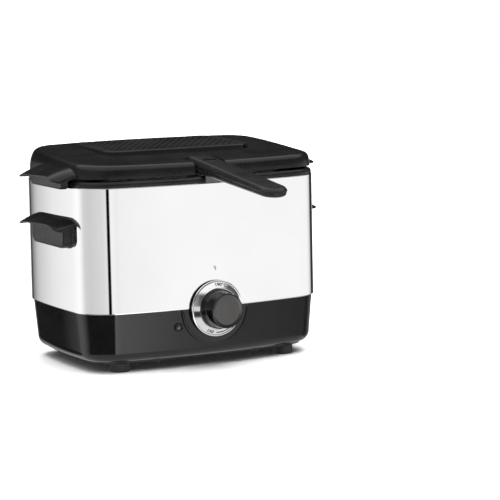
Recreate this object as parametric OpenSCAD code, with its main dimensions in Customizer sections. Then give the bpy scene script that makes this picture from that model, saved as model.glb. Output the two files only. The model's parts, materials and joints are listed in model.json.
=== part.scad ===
// Compact household deep fryer: a bowed steel body on a black base, a lift-off lid with a
// removable filter, and a wire basket with a fold-up handle.
// X runs to the right, the front faces -Y, and the floor is Z = 0.

/* [Body] */
// Width of the steel body
body_w = 270; // [262:1:278]
// Depth of the steel body
body_d = 196; // [192:1:200]
// Radius of the body's four upright corners
corner_r = 40; // [36:1:44]
// Radius of the gentle bow of the front and the back
front_arc_r = 617; // [560:1:800]
// Radius of the gentle bow of the two ends
side_arc_r = 679; // [600:1:900]
// Height of the seam between the base and the steel body
seam_z = 60; // [58:0.5:61]
// Height of the steel body's top edge
shell_top_z = 183.7; // [183.2:0.1:184.2]
// Thickness of the steel sheet
sheet_t = 0.8; // [0.6:0.1:1]

/* [Base] */
// Height of the base's lower edge
base_z = 11; // [10.5:0.5:11]
// Wall thickness of the base moulding
base_t = 2.5; // [2:0.1:3]
// Radius of a rubber foot
foot_r = 10; // [8:0.5:11]
// Half the spacing of the feet across the width
foot_x = 92; // [84:1:96]
// Half the spacing of the feet across the depth
foot_y = 67; // [60:1:68]

/* [Dial] */
// Outer radius of the bright dial ring
dial_r = 28.9; // [27:0.1:30]
// Radius of the knob where it meets the ring
knob_r = 20; // [18:0.5:21]
// Distance of the knob's front face from the body's centre
knob_front = 124; // [120:0.5:126]

/* [Collar and bowl] */
// Height of the collar's top
collar_z = 190; // [189.5:0.1:190]
// Width of the bowl's mouth
mouth_w = 214; // [210:1:216]
// Depth of the bowl's mouth
mouth_d = 150; // [148:1:151]
// Height of the inside of the bowl's floor
bowl_floor_z = 88; // [86:0.5:90]
// Thickness of the bowl's wall
bowl_t = 1.5; // [1.2:0.1:1.6]

/* [Basket] */
// Width of the basket at its rim
basket_w = 196; // [190:1:198]
// Depth of the basket at its rim
basket_d = 132; // [128:1:132]
// Height of the basket's floor
basket_z = 95; // [92:0.5:100]
// Height of the basket's rim wire
basket_rim_z = 178; // [174:0.5:180]
// Width of the basket's handle
handle_w = 28; // [26:0.5:28]
// Distance of the handle's rounded end from the body's centre
handle_end = 234; // [220:1:240]

/* [Lid] */
// Height of the lid's lower edge
lid_z = 192; // [191.8:0.1:192.2]
// Height of the lid's sloping top at its front edge
lid_front_z = 204.2; // [203.8:0.1:204.6]
// Rise of the lid's top per millimetre towards the back
lid_slope = 0.072; // [0.066:0.002:0.076]
// Wall thickness of the lid
lid_t = 2.5; // [2.2:0.1:2.6]

/* [Hidden] */
$fn = 48;
skin = 0.02;                      // thickness of the thin slices that a hull spans
far = 400;                        // larger than the whole object
// the modules have the body's centre at Y = 0; this moves them so that the middle of the whole
// object, handle included, is at Y = 0
centre_shift = (handle_end - body_d / 2) / 2;

// centre of the front bow, centre of the right bow, and centre of the corner they share
front_c = [0, front_arc_r - body_d / 2];
side_c = [body_w / 2 - side_arc_r, 0];
bow_gap = norm(side_c - front_c);
bow_dir = (side_c - front_c) / bow_gap;
reach_f = front_arc_r - corner_r;
reach_s = side_arc_r - corner_r;
along = (reach_f * reach_f - reach_s * reach_s + bow_gap * bow_gap) / (2 * bow_gap);
across = sqrt(reach_f * reach_f - along * along);
corner_c = front_c + bow_dir * along + [-bow_dir.y, bow_dir.x] * across;
front_angle = atan2(corner_c.x, front_c.y - corner_c.y);
side_angle = atan2(-corner_c.y, corner_c.x - side_c.x);

function arc_points(c, r, a0, a1, n) =
  [for (i = [0:n]) c + r * [cos(a0 + (a1 - a0) * i / n), sin(a0 + (a1 - a0) * i / n)]];
function tail(p) = [for (i = [1:len(p) - 1]) p[i]];
function backwards(p) = [for (i = [len(p) - 1:-1:0]) p[i]];
function flipped(p, fx, fy) = [for (q = p) [q.x * fx, q.y * fy]];
// one quarter of the body's outline, moved inwards by t, from the front's middle to the right
function quarter(t) = concat(
  arc_points(front_c, front_arc_r - t, -90, -90 + front_angle, 5),
  tail(arc_points(corner_c, corner_r - t, -90 + front_angle, -side_angle, 8)),
  tail(arc_points(side_c, side_arc_r - t, -side_angle, 0, 3))
);
function body_outline(t) = let (q = quarter(t), b = flipped(backwards(q), 1, -1))
  concat(q, tail(b), tail(flipped(q, -1, -1)),
         [for (i = [1:len(q) - 2]) flipped(backwards(q), -1, 1)[i]]);

base_profile = [[2, seam_z - skin], [3.4, 40], [5, 25], [7, 18], [9.8, 14], [14, base_z]];
lip_t = 2.5;                      // the base's inward lip, which the bottom plate closes
lip_inset = 18;
tie_x = 108;
tie_y = 67;
tie_r = 2;
base_screw_x = 55;
base_screw_y = 76;
post_x = 78;
post_y = 44;
shield_z = 66;

dial_z = 59;
dial_back = body_d / 2 + 0.4;     // distance of the ring's back face from the centre
ring_rim = 2.2;                   // height of the ring's outer wall, below its sloping face
ring_t = 6.9;
ring_step = 0.6;                  // the knob sits this deep in the ring
knob_back = dial_back + ring_t - ring_step;
boss_r = 36.6;                    // upright boss round the dial, on the base's sloping wall
boss_inset = 2;
shaft_r = 3;
run_gap = 0.05;                   // radial clearance of a shaft that turns
pilot_x = -39.2;
pilot_z = 42.1;
gland_x = 70;
gland_z = 30;
gland_r = 7;
cord_r = 3.6;

flange_w = 234;
flange_d = 170;
flange_r = 58;
mouth_r = 50;
flange_z = 185.2;
flange_t = 1.2;
seal_t = 0.6;
collar_plate_z = flange_z + flange_t + seal_t;
bowl_screw_places = [[112.5, 0], [-112.5, 0], [0, 80], [0, -80]];
bowl_bottom_z = bowl_floor_z - bowl_t;
ring_tube_r = 3.2;
element_r = 48;
element_z = bowl_bottom_z - ring_tube_r - 0.1;
element_gap = 30;                 // degrees left open between the element's two ends
shield_w = 188;
shield_d = 116;
shield_r = 30;
shield_t = 0.8;
mesh_t = 1.4;                     // wall of the tub that the basket's wires make
tub_r = 44;
tub_taper = 5;                    // the tub's floor is smaller than its rim by this on each side

handle_box_y = [-62, 16];         // the left grip's box; the right one is turned half round
handle_hood_y = [-66, 33];
lid_box_y = [-56, 12];
lid_hood_y = [-61, 29];
handle_screw_y = [-48, 2];
handle_screw_z = 138;
grip_out = 147;
hood_out = 155;
hood_r = 10;

bracket_y = -69.3;                // outer face of the upright strap
bracket_t = 1.2;
strap_z = 190.2;
strap_t = 1;
strap_front = 104;
pin_y = -78;
pin_z = 199.5;
pin_r = 2;
handle_top_z = 204;               // the handle's top and underside at the place below
handle_low_z = 190.8;
handle_ref_y = -110;
handle_top_slope = 0.123;
handle_low_slope = 0.087;
handle_mid_slope = (handle_top_slope + handle_low_slope) / 2;
handle_mid_z = (handle_top_z + handle_low_z) / 2;
root_r = 7.4;
lower_start = -109;
handle_posts = [-130, -200];
button_w = 13;
button_y = [-100, -87.5];
button_top_z = 205.2;
button_low_z = 202.4;
shelf_z = 196;

notch_x = [-17, 18];
notch_y = -62;
lid_profile = [[4, lid_z], [4.9, 199], [6.2, 205], [9, 211], [12.5, 214.5], [16.5, 216.8],
               [23, 218.2]];
lid_screw_x = 90;
lid_screw_y = 40;
cover_x = [-78, 85];
cover_y = [-22, 78];
cover_r = 14;
cover_front = 4;                  // the cover stands this proud of the lid at its front edge
cover_back = 0.3;
cover_sunk = 2.4;
cover_gap = 0.5;
mesh_sunk = 5;                    // depth of the filter's underside below the lid's top
filter_t = 1.8;
well_deep = 6.5;
hole_pitch = 11;

module slab(points, z, t = skin) {
  translate([0, 0, z]) linear_extrude(t) polygon(points);
}

// body-shaped solid through a list of [inset, height]
module loft(profile, extra = 0, lift = 0) {
  hull() for (p = profile) slab(body_outline(p[0] + extra), p[1] + lift);
}

module body_prism(inset, z0, z1) {
  slab(body_outline(inset), z0, z1 - z0);
}

module rounded_prism(w, d, r, z0, z1) {
  translate([0, 0, z0]) linear_extrude(z1 - z0) union() {
    square([w - 2 * r, d], center = true);
    square([w, d - 2 * r], center = true);
    for (x = [-1, 1], y = [-1, 1]) translate([x * (w / 2 - r), y * (d / 2 - r)]) circle(r);
  }
}

module box(low, high) {
  translate(low) cube(high - low);
}

module post(x, y, z0, z1, r) {
  translate([x, y, z0]) cylinder(h = z1 - z0, r = r);
}

// cylinder along Y, from y0 to y1
module y_rod(x, z, y0, y1, r) {
  translate([x, y0, z]) rotate([-90, 0, 0]) cylinder(h = y1 - y0, r = r);
}

// cylinder along X, from x0 to x1
module x_rod(y, z, x0, x1, r) {
  translate([x0, y, z]) rotate([0, 90, 0]) cylinder(h = x1 - x0, r = r);
}

// everything below a plane that rises by slope towards the back and has height z at y
module below(z, y, slope) {
  translate([0, y, z]) rotate([atan(slope), 0, 0]) translate([-far, -far, -far])
    cube([2 * far, 2 * far, far]);
}

module four(x, y) {
  for (sx = [-1, 1], sy = [-1, 1]) translate([sx * x, sy * y, 0]) children();
}

// round wire along a path of square turns, with a bead at each turn
module wire(path, r) {
  for (i = [0:len(path) - 2]) {
    step = path[i + 1] - path[i];
    translate(path[i]) rotate([0, acos(step.z / norm(step)), atan2(step.y, step.x)])
      cylinder(h = norm(step), r = r);
  }
  for (i = [0:len(path) - 1]) translate(path[i]) sphere(r * 1.25);
}

module screw(head_r, head_h, shank_r, length) {
  cylinder(h = head_h, r = head_r);
  translate([0, 0, head_h - skin]) cylinder(h = length + skin, r = shank_r);
}

module base_housing() {
  color("#141416") difference() {
    union() {
      difference() {
        loft(base_profile);
        loft(base_profile, base_t, lip_t);
        body_prism(lip_inset, base_z - 1, base_z + 2 * lip_t);
      }
      intersection() {
        y_rod(0, dial_z, -body_d / 2, -91, boss_r);
        body_prism(boss_inset, base_z, seam_z);
      }
      four(tie_x, tie_y) post(0, 0, base_z + 1, seam_z, 5);
      four(base_screw_x, base_screw_y) post(0, 0, base_z, 26, 4.5);
      four(post_x, post_y) post(0, 0, base_z, shield_z, 5);
      for (sx = [-1, 1]) translate([sx * post_x, 0, base_z]) linear_extrude(lip_t)
        square([12, 160], center = true);
    }
    four(tie_x, tie_y) post(0, 0, base_z - 1, seam_z + 1, tie_r + 0.1);
    four(tie_x, tie_y) post(0, 0, base_z - 1, base_z + 6, 3.8);
    four(base_screw_x, base_screw_y) post(0, 0, base_z - 1, 22, 1.55);
    four(post_x, post_y) post(0, 0, 50, shield_z + 1, 1.55);
    y_rod(0, dial_z, -body_d, -80, 6);
    y_rod(pilot_x, pilot_z, -body_d, -80, 3.7);
    y_rod(pilot_x, pilot_z, -body_d, -93.2, 4.6);
    y_rod(gland_x, gland_z, 70, body_d, gland_r);
    y_rod(gland_x, gland_z, 89.6, body_d, gland_r + 2.5);
  }
}

module bottom_plate() {
  color("#1b1b1d") difference() {
    body_prism(15.5, base_z - 2, base_z);
    four(base_screw_x, base_screw_y) post(0, 0, 0, base_z + 1, 1.7);
    four(foot_x, foot_y) post(0, 0, 0, base_z + 1, 3);
    for (x = [-30:12:30]) translate([x - 2, -40, 0]) cube([4, 60, base_z + 1]);
  }
}

module rubber_feet() {
  color("#202022") four(foot_x, foot_y) {
    cylinder(h = base_z - 2, r = foot_r);
    cylinder(h = base_z + 0.6, r = 2.95);
    translate([0, 0, base_z]) cylinder(h = 1.4, r = 4.2);
  }
}

module base_screws() {
  color("#8d9094") four(base_screw_x, base_screw_y)
    translate([0, 0, base_z - 4]) screw(3.2, 2, 1.5, 11);
}

module steel_shell() {
  color("#d9dadd") difference() {
    body_prism(0, seam_z, shell_top_z);
    body_prism(sheet_t, seam_z + sheet_t, shell_top_z - sheet_t);
    body_prism(5, seam_z - 1, shell_top_z + 1);
    y_rod(0, dial_z, -body_d, -80, 6);
    for (turn = [0, 180]) rotate(turn) for (y = handle_screw_y)
      x_rod(y, handle_screw_z, -body_w, -100, 2);
  }
}

module collar() {
  color("#19191a") difference() {
    union() {
      loft([[0.8, shell_top_z], [0.9, 186.6], [2.2, 189], [4.5, collar_z - skin]]);
      four(tie_x, tie_y) post(0, 0, 172, shell_top_z + 1, 5);
    }
    rounded_prism(mouth_w + 3, mouth_d + 3, mouth_r + 1.5, 150, 250);
    rounded_prism(flange_w + 2, flange_d + 2, flange_r + 1, 150, collar_plate_z);
    four(tie_x, tie_y) post(0, 0, 150, collar_z - 2, tie_r + 0.05);
    for (p = bowl_screw_places) post(p.x, p.y, 180, collar_z - 0.8, 1.25);
  }
}

// hood of a grip: a thin drooping cap that stands proud of the box on three sides
module hood(wall_x, wall_z, drop, y) {
  length = y[1] - y[0];
  intersection() {
    translate([0, y[1], 0]) rotate([90, 0, 0])
      linear_extrude(length)
        polygon([[-wall_x, wall_z], [-wall_x - 9, wall_z - 0.2 * drop],
                 [-hood_out + 5, wall_z - 0.62 * drop], [-hood_out, wall_z - drop],
                 [-hood_out + 0.6, wall_z - drop - 1.6], [-hood_out + 6, wall_z - 0.62 * drop - 2.6],
                 [-wall_x - 9, wall_z - 0.2 * drop - 3], [-wall_x, wall_z - 3]]);
    translate([-hood_out, y[0], 0]) linear_extrude(far) union() {
      translate([hood_r, 0]) square([40, length]);
      translate([0, hood_r]) square([40, length - 2 * hood_r]);
      for (end = [hood_r, length - hood_r]) translate([hood_r, end]) circle(hood_r);
    }
  }
}

// rounded box seen from the end of the body, extruded along X from x0 to x1
module grip_box(x0, x1, y0, y1, z0, z1, r) {
  translate([x0, 0, 0]) rotate([90, 0, 90]) linear_extrude(x1 - x0) union() {
    translate([y0, z0 + r]) square([y1 - y0, z1 - z0 - r]);
    translate([y0 + r, z0]) square([y1 - y0 - 2 * r, z1 - z0]);
    for (y = [y0 + r, y1 - r]) translate([y, z0 + r]) circle(r);
  }
}

module body_handle_left() {
  color("#1a1a1b") difference() {
    union() {
      hood(130, 154.4, 7.4, handle_hood_y);
      grip_box(-grip_out, -128, handle_box_y[0], handle_box_y[1], 125, 150, 8);
      grip_box(-136.5, -128, handle_box_y[0] - 1.5, handle_box_y[1] + 8, 126, 152, 10);
    }
    body_prism(0, 100, 180);
    difference() {
      grip_box(-grip_out + 2.5, -100, handle_box_y[0] + 2.5, handle_box_y[1] - 2.5,
               127.5, 147, 6);
      for (y = handle_screw_y) x_rod(y, handle_screw_z, -grip_out, -100, 4);
    }
    for (y = handle_screw_y) x_rod(y, handle_screw_z, -grip_out + 3, -100, 1.5);
  }
}

module body_handle_right() {
  rotate(180) body_handle_left();
}

module handle_fixing_screws() {
  color("#8d9094") for (turn = [0, 180]) rotate(turn) for (y = handle_screw_y)
    translate([handle_screw_head(y), y, handle_screw_z]) rotate([0, -90, 0])
      screw(3.4, 1.8, 1.45, 9);
}
// inner end of a fixing screw's head, against the inside of the sheet
function handle_screw_head(y) = -side_face(y) + sheet_t + 2.1;
// distance of the body's end face from the centre plane at y
function side_face(y) = side_c.x + sqrt(side_arc_r * side_arc_r - y * y);

module tie_screws() {
  color("#8d9094") four(tie_x, tie_y) translate([0, 0, base_z + 3.4])
    screw(3.6, 2.6, tie_r, collar_z - 2.4 - base_z - 6);
}

module bowl() {
  color("#3a3b3d") difference() {
    union() {
      hull() {
        rounded_slice(mouth_w, mouth_d, mouth_r, flange_z);
        rounded_slice(mouth_w - 8, mouth_d - 8, mouth_r - 4, bowl_bottom_z + 14);
        rounded_slice(mouth_w - 14, mouth_d - 14, mouth_r - 7, bowl_bottom_z + 4);
        rounded_slice(mouth_w - 26, mouth_d - 26, mouth_r - 13, bowl_bottom_z);
      }
      rounded_prism(flange_w, flange_d, flange_r, flange_z, flange_z + flange_t);
    }
    hull() {
      rounded_slice(mouth_w - 2 * bowl_t, mouth_d - 2 * bowl_t, mouth_r - bowl_t, collar_z);
      rounded_slice(mouth_w - 8 - 2 * bowl_t, mouth_d - 8 - 2 * bowl_t,
                    mouth_r - 4 - bowl_t, bowl_floor_z + 13);
      rounded_slice(mouth_w - 28, mouth_d - 28, mouth_r - 14, bowl_floor_z);
    }
    for (p = bowl_screw_places) post(p.x, p.y, 180, 190, 1.7);
  }
}

module rounded_slice(w, d, r, z) {
  rounded_prism(w, d, r, z, z + skin, $fn = 48);
}

module bowl_seal() {
  color("#7b2b22") difference() {
    rounded_prism(mouth_w + 7, mouth_d + 7, mouth_r + 3.5, flange_z + flange_t, collar_plate_z);
    rounded_prism(mouth_w + 4, mouth_d + 4, mouth_r + 2, 180, 190);
  }
}

module bowl_screws() {
  color("#8d9094") for (p = bowl_screw_places) translate([p.x, p.y, flange_z - 1.6])
    screw(2.8, 1.6, 1.2, 3.8);
}

module heating_element() {
  color("#5c5a58") {
    rotate(90 + element_gap / 2) translate([0, 0, element_z])
      rotate_extrude(angle = 360 - element_gap) translate([element_r, 0]) circle(ring_tube_r);
    for (side = [-1, 1]) rotate(90 + side * (element_gap / 2 - 1)) {
      translate([element_r, 0, 62]) cylinder(h = bowl_bottom_z - 0.4 - 62, r = 4.2);
      translate([element_r, 0, 52]) cylinder(h = 11, r = 1.5);
    }
  }
}

module heat_shield() {
  color("#a9abad") difference() {
    union() {
      rounded_prism(shield_w, shield_d, shield_r, shield_z, shield_z + shield_t);
      difference() {
        rounded_prism(shield_w, shield_d, shield_r, shield_z, shield_z + 9);
        rounded_prism(shield_w - 2 * shield_t, shield_d - 2 * shield_t, shield_r - shield_t,
                      shield_z - 1, shield_z + 10);
      }
    }
    four(post_x, post_y) post(0, 0, 60, 70, 1.7);
    for (side = [-1, 1]) rotate(90 + side * (element_gap / 2 - 1))
      translate([element_r, 0, 50]) cylinder(h = 30, r = 5);
    for (p = [[-23, 20], [60, 0]]) translate([p.x, p.y, 50]) cylinder(h = 30, r = 5, $fn = 6);
  }
}

module shield_screws() {
  color("#8d9094") four(post_x, post_y) translate([0, 0, shield_z + shield_t + 1.8])
    rotate([180, 0, 0]) screw(3.2, 1.8, 1.5, 10);
}

module thermostat_body() {
  color("#d8cdb4") difference() {
    union() {
      box([-15, -89, 46], [15, -64, 72]);
      y_rod(0, dial_z, -body_d / 2 + 0.5, -80, 5);
    }
    y_rod(0, dial_z, -body_d, -70, shaft_r + run_gap);
  }
}

module thermostat_bracket() {
  color("#b4b6b8") difference() {
    union() {
      box([-21, -90.5, 40], [21, -89, shield_z]);
      box([-21, -90.5, shield_z - 1.5], [-16, -50, shield_z]);
      box([16, -90.5, shield_z - 1.5], [21, -50, shield_z]);
    }
    y_rod(0, dial_z, -body_d, -80, 5.05);
  }
}

module sensor_bulb() {
  color("#b87a4b") {
    x_rod(-12, bowl_bottom_z - 3.2, -30, 30, 3);
    wire([[8, -68, 73.1], [8, -68, 76], [8, -12, 76], [8, -12, bowl_bottom_z - 4.4]], 0.8);
  }
}

module thermal_cutout() {
  color("#cfcfd2") {
    post(-18, 20, bowl_bottom_z - 7, bowl_bottom_z, 8);
    for (x = [-5, 5]) box([-18 + x - 2.4, 19.6, bowl_bottom_z - 14],
                          [-18 + x + 2.4, 20.4, bowl_bottom_z - 6.9]);
  }
}

module terminal_block() {
  color("#e9e6da") difference() {
    box([-22, 42, base_z], [22, 60, base_z + 16]);
    for (x = [-14.5, 0, 14.5]) box([x - 4, 41, base_z + 4], [x + 4, 61, base_z + 12]);
  }
}

module wiring_loom() {
  r = 1.3;
  color("#b33a2c") {
    wire([[-14.5, 51, base_z + 10], [-14.5, 34, base_z + 10], [-14.5, 34, 40],
          [-14.5, -62.2, 40], [-14.5, -62.2, 58]], r);
    wire([[0, 51, base_z + 8], [0, 38, base_z + 8], [0, 38, 56],
          [-12, element_r - 1.5, 56]], r);
    wire([[-14.5, 34, 34], [pilot_x, 34, 34], [pilot_x, -69.3, 34],
          [pilot_x, -69.3, pilot_z]], r);
    wire([[-23, 20, bowl_bottom_z - 15.2], [-23, 20, 60], [-60, 20, 60], [-60, 20, 40],
          [-14.5, 20, 40]], 0.9);
  }
}

module earth_lead() {
  color("#3f8f3f") wire([[14.5, 51, base_z + 8], [14.5, 30, base_z + 8], [14.5, 30, 60],
                         [60, 30, 60], [60, 30, shield_z - 1.7]], 1.3);
}

module pilot_lens() {
  color("#2a1311") {
    y_rod(pilot_x, pilot_z, -95.4, -93.2, 4.5);
    y_rod(pilot_x, pilot_z, -93.2 - skin, -86, 3.65);
  }
}

module pilot_lamp() {
  color("#c6c2bb") {
    y_rod(pilot_x, pilot_z, -86, -74, 3.2);
    y_rod(pilot_x, pilot_z, -74 - skin, -71, 4.6);
  }
}

module cord_gland() {
  color("#161617") difference() {
    union() {
      y_rod(gland_x, gland_z, 78, 92, gland_r - 0.02);
      y_rod(gland_x, gland_z, 89.6, 94, gland_r + 2.4);
      y_rod(gland_x, gland_z, 78, 81.5, gland_r + 1.2);
    }
    y_rod(gland_x, gland_z, 70, 100, cord_r);
  }
}

module knob() {
  color("#202124") translate([0, -knob_back, dial_z]) rotate([90, 0, 0]) difference() {
    rotate_extrude() polygon(concat(
      [[0, 0], [knob_r, 0], [knob_r, 2.2], [knob_r - 2.2, knob_front - knob_back - 2]],
      arc_points([knob_r - 4.2, knob_front - knob_back - 2], 2, 0, 90, 5),
      [for (i = [0:8]) [14.6 * cos(i * 90 / 8), knob_front - knob_back - 1.4 * sin(i * 90 / 8)]]));
    difference() {
      translate([0, 0, -1]) cylinder(h = 14, r = 15);
      translate([0, 0, -2]) cylinder(h = 18, r = 6);
    }
    translate([0, 0, -1]) cylinder(h = 13, r = shaft_r);
  }
}

module dial_ring() {
  color("#e8e8ea") translate([0, -dial_back, dial_z]) rotate([90, 0, 0]) rotate_extrude()
    polygon([[knob_r - 7, 0], [dial_r, 0], [dial_r, ring_rim], [dial_r - 1.1, ring_rim + 1],
             [knob_r + 1, ring_t], [knob_r + 0.4, ring_t - ring_step],
             [knob_r - 7, ring_t - ring_step]]);
}

module thermostat_shaft() {
  color("#b9bbbf") y_rod(0, dial_z, -knob_back - 12, -72, shaft_r);
}

module knob_clip() {
  color("#8a8d92") translate([0, -knob_back, dial_z]) rotate([90, 0, 0]) difference() {
    cylinder(h = 3, r = 7.4);
    translate([0, 0, -1]) cylinder(h = 5, r = 6);
    translate([-1.5, 0, -1]) cube([3, 10, 5]);
  }
}

// the basket's tapered shape, moved inwards by t and with its floor raised by t
module tub_solid(t) {
  hull() {
    rounded_slice(basket_w - 2 * t, basket_d - 2 * t, tub_r - t, basket_rim_z - (t > 0 ? 0 : skin));
    rounded_slice(basket_w - 2 * tub_taper - 2 * t, basket_d - 2 * tub_taper - 2 * t,
                  tub_r - 4 - t, basket_z + t);
  }
}

module basket_tub() {
  color("#b9bbbe") difference() {
    tub_solid(0);
    tub_solid(mesh_t);
    for (x = [-60:20:60], y = [-40:20:40]) translate([x, y, basket_z - 1])
      cylinder(h = 4, r = 6, $fn = 6);
  }
}

module basket_rim() {
  color("#c9cbce") difference() {
    rounded_prism(basket_w + 4, basket_d + 4, tub_r + 2, basket_rim_z - 4, basket_rim_z);
    rounded_prism(basket_w + 0.02, basket_d + 0.02, tub_r + 0.01, basket_z, collar_z);
  }
}

module handle_bracket() {
  color("#c4c6c9") difference() {
    union() {
      box([-11, bracket_y, 146], [11, bracket_y + bracket_t, strap_z + strap_t]);
      box([-11, bracket_y, 146], [11, -62.6, 149]);
      box([-11, -strap_front, strap_z], [11, bracket_y + bracket_t, strap_z + strap_t]);
      box([-11, -strap_front, 184.6], [11, -strap_front + strap_t, strap_z + strap_t]);
      for (x = [-10.2, 9]) translate([x, 0, 0]) rotate([90, 0, 90]) linear_extrude(1.2) union() {
        translate([pin_y, pin_z]) circle(5);
        translate([pin_y - 5, strap_z]) square([10, pin_z - strap_z]);
      }
    }
    x_rod(pin_y, pin_z, -20, 20, pin_r + run_gap);
    tub_solid(0);
  }
}

// the handle's outline from above, moved inwards by t
module handle_plan(t) {
  r = handle_w / 2;
  translate([-r + t, -handle_end + r]) square([handle_w - 2 * t, handle_end - r + pin_y + 12]);
  translate([0, -handle_end + r]) circle(r - t);
}

// the handle's height range between two sloping planes, with its outline moved inwards by t
module handle_solid(t, top, low) {
  difference() {
    intersection() {
      translate([0, 0, 150]) linear_extrude(80) handle_plan(t);
      below(handle_top_z - top, handle_ref_y, handle_top_slope);
    }
    below(handle_low_z + low, handle_ref_y, handle_low_slope);
  }
}

module root_shape() {
  rotate([90, 0, 90]) linear_extrude(far, center = true) union() {
    translate([-far + pin_y, 100]) square([far, 200]);
    translate([pin_y, pin_z]) circle(root_r);
    translate([pin_y, pin_z]) square([root_r, root_r]);
  }
}

module handle_cavity() {
  difference() {
    handle_solid(2.5, 2.5, 2.5);
    for (y = handle_posts) post(0, y, 150, 230, 3.4);
    box([-handle_w, button_y[0] - 4, shelf_z], [handle_w, button_y[1] - 0.4, shelf_z + 1.5]);
  }
}

module handle_upper() {
  color("#1c1c1d") difference() {
    intersection() {
      handle_solid(0, 0, 0);
      root_shape();
    }
    handle_cavity();
    difference() {
      below(handle_mid_z, handle_ref_y, handle_mid_slope);
      box([-far, lower_start, 0], [far, 0, far]);
    }
    box([-far, lower_start, 0], [far, 0, strap_z + strap_t + 0.7]);
    box([-10.6, lower_start, 0], [10.6, button_y[1] - 12.6, shelf_z - 0.01]);
    box([-10.6, button_y[1], 0], [10.6, 0, pin_z]);
    box([-10.6, pin_y, 0], [10.6, 0, pin_z + 5.6]);
    box([-button_w / 2 - 0.3, button_y[0] - 0.3, 202], [button_w / 2 + 0.3, button_y[1] + 0.3, 230]);
    x_rod(pin_y, pin_z, -far, far, pin_r + 0.01);
    for (y = handle_posts)
      post(0, y, 150, handle_mid_z + 3 + handle_mid_slope * (y - handle_ref_y), 1.3);
  }
}

module handle_lower() {
  color("#1c1c1d") difference() {
    intersection() {
      handle_solid(0, 0, 0);
      below(handle_mid_z, handle_ref_y, handle_mid_slope);
      box([-far, -far, 0], [far, lower_start, far]);
    }
    handle_cavity();
    for (y = handle_posts) {
      post(0, y, 150, 230, 1.4);
      post(0, y, 150, handle_screw_seat(y), 2.7);
    }
  }
}
function handle_screw_seat(y) = handle_low_z + handle_low_slope * (y - handle_ref_y) + 3;

module handle_screws() {
  color("#8d9094") for (y = handle_posts) translate([0, y, handle_screw_seat(y) - 1.8])
    screw(2.5, 1.8, 1.25, 4.5);
}

module handle_pin() {
  color("#b5b7ba") x_rod(pin_y, pin_z, -13.4, 13.4, pin_r);
}

module release_button() {
  color("#0d0d0e") {
    box([-button_w / 2, button_y[0], button_low_z], [button_w / 2, button_y[1], button_top_z]);
    box([-button_w / 2 - 1.2, button_y[0] + 0.5, button_low_z - 0.8],
        [button_w / 2 + 1.2, button_y[1] - 0.5, button_low_z]);
  }
}

module button_spring() {
  color("#a6a9ad") translate([0, (button_y[0] + button_y[1]) / 2, shelf_z + 1.5]) difference() {
    cylinder(h = button_low_z - 0.8 - shelf_z - 1.5, r = 3);
    translate([0, 0, -1]) cylinder(h = 10, r = 2.2);
  }
}

module lid_plane(drop) {
  below(lid_front_z - drop, -body_d / 2 + 4, lid_slope);
}

// the filter cover's outline from above, moved outwards by t
module cover_plan(t) {
  translate([cover_x[0] + cover_r, cover_y[0] - t])
    square([cover_x[1] - cover_x[0] - 2 * cover_r, cover_y[1] - cover_y[0] + 2 * t]);
  translate([cover_x[0] - t, cover_y[0] + cover_r])
    square([cover_x[1] - cover_x[0] + 2 * t, cover_y[1] - cover_y[0] - 2 * cover_r]);
  for (x = [cover_x[0] + cover_r, cover_x[1] - cover_r],
       y = [cover_y[0] + cover_r, cover_y[1] - cover_r])
    translate([x, y]) circle(cover_r + t);
}

module lid_inside() {
  intersection() {
    loft(lid_profile, lid_t, -lid_t);
    lid_plane(lid_t);
  }
}

module lid_grip() {
  difference() {
    union() {
      hood(126, 203.6, 9.4, lid_hood_y);
      grip_box(-grip_out, -128, lid_box_y[0], lid_box_y[1], 182.5, 197.5, 5);
    }
    body_prism(-1.6, 170, lid_z);
    grip_box(-grip_out + 2.5, -100, lid_box_y[0] + 2.5, lid_box_y[1] - 2.5, 185, 195, 4);
  }
}

module lid_shell() {
  color("#1d1d1d") difference() {
    union() {
      difference() {
        intersection() {
          loft(lid_profile);
          lid_plane(0);
        }
        lid_inside();
        body_prism(4 + lid_t, lid_z - 1, lid_z + 1);
      }
      difference() {
        intersection() {
          body_prism(10, collar_z + 0.15, lid_z + 15);
          lid_plane(1);
        }
        body_prism(12, collar_z, lid_z + 16);
      }
      intersection() {
        linear_extrude(far) cover_plan(3);
        lid_inside();
        difference() {
          lid_plane(lid_t - 0.5);
          lid_plane(well_deep);
        }
      }
      for (turn = [0, 180]) rotate(turn) difference() {
        lid_grip();
        loft([[4 + lid_t / 2, lid_z - 20], [4 + lid_t / 2, 215]]);
      }
      intersection() {
        four(lid_screw_x, lid_screw_y) post(0, 0, 198.5, 220, 4);
        lid_plane(1);
      }
    }
    difference() {
      linear_extrude(far) cover_plan(cover_gap);
      lid_plane(cover_sunk + 0.1);
    }
    difference() {
      linear_extrude(far) cover_plan(-6);
      lid_plane(mesh_sunk);
    }
    linear_extrude(far) cover_plan(-9);
    box([notch_x[0], -far, 0], [notch_x[1], notch_y, far]);
    four(lid_screw_x, lid_screw_y) post(0, 0, 190, 204.5, 1.25);
  }
}

module lid_liner() {
  color("#8f9193") difference() {
    union() {
      body_prism(14.5, 197, 198.5);
      difference() {
        rounded_prism(mouth_w - 1, mouth_d - 1, mouth_r - 0.5, 187, 197.5);
        rounded_prism(mouth_w - 4, mouth_d - 4, mouth_r - 2, 180, 197);
      }
    }
    linear_extrude(far) cover_plan(-9);
    box([notch_x[0], -far, 0], [notch_x[1], notch_y, far]);
    four(lid_screw_x, lid_screw_y) post(0, 0, 190, 200, 1.7);
  }
}

module lid_screws() {
  color("#8d9094") four(lid_screw_x, lid_screw_y) translate([0, 0, 195.4])
    screw(2.8, 1.6, 1.2, 6.5);
}

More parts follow.
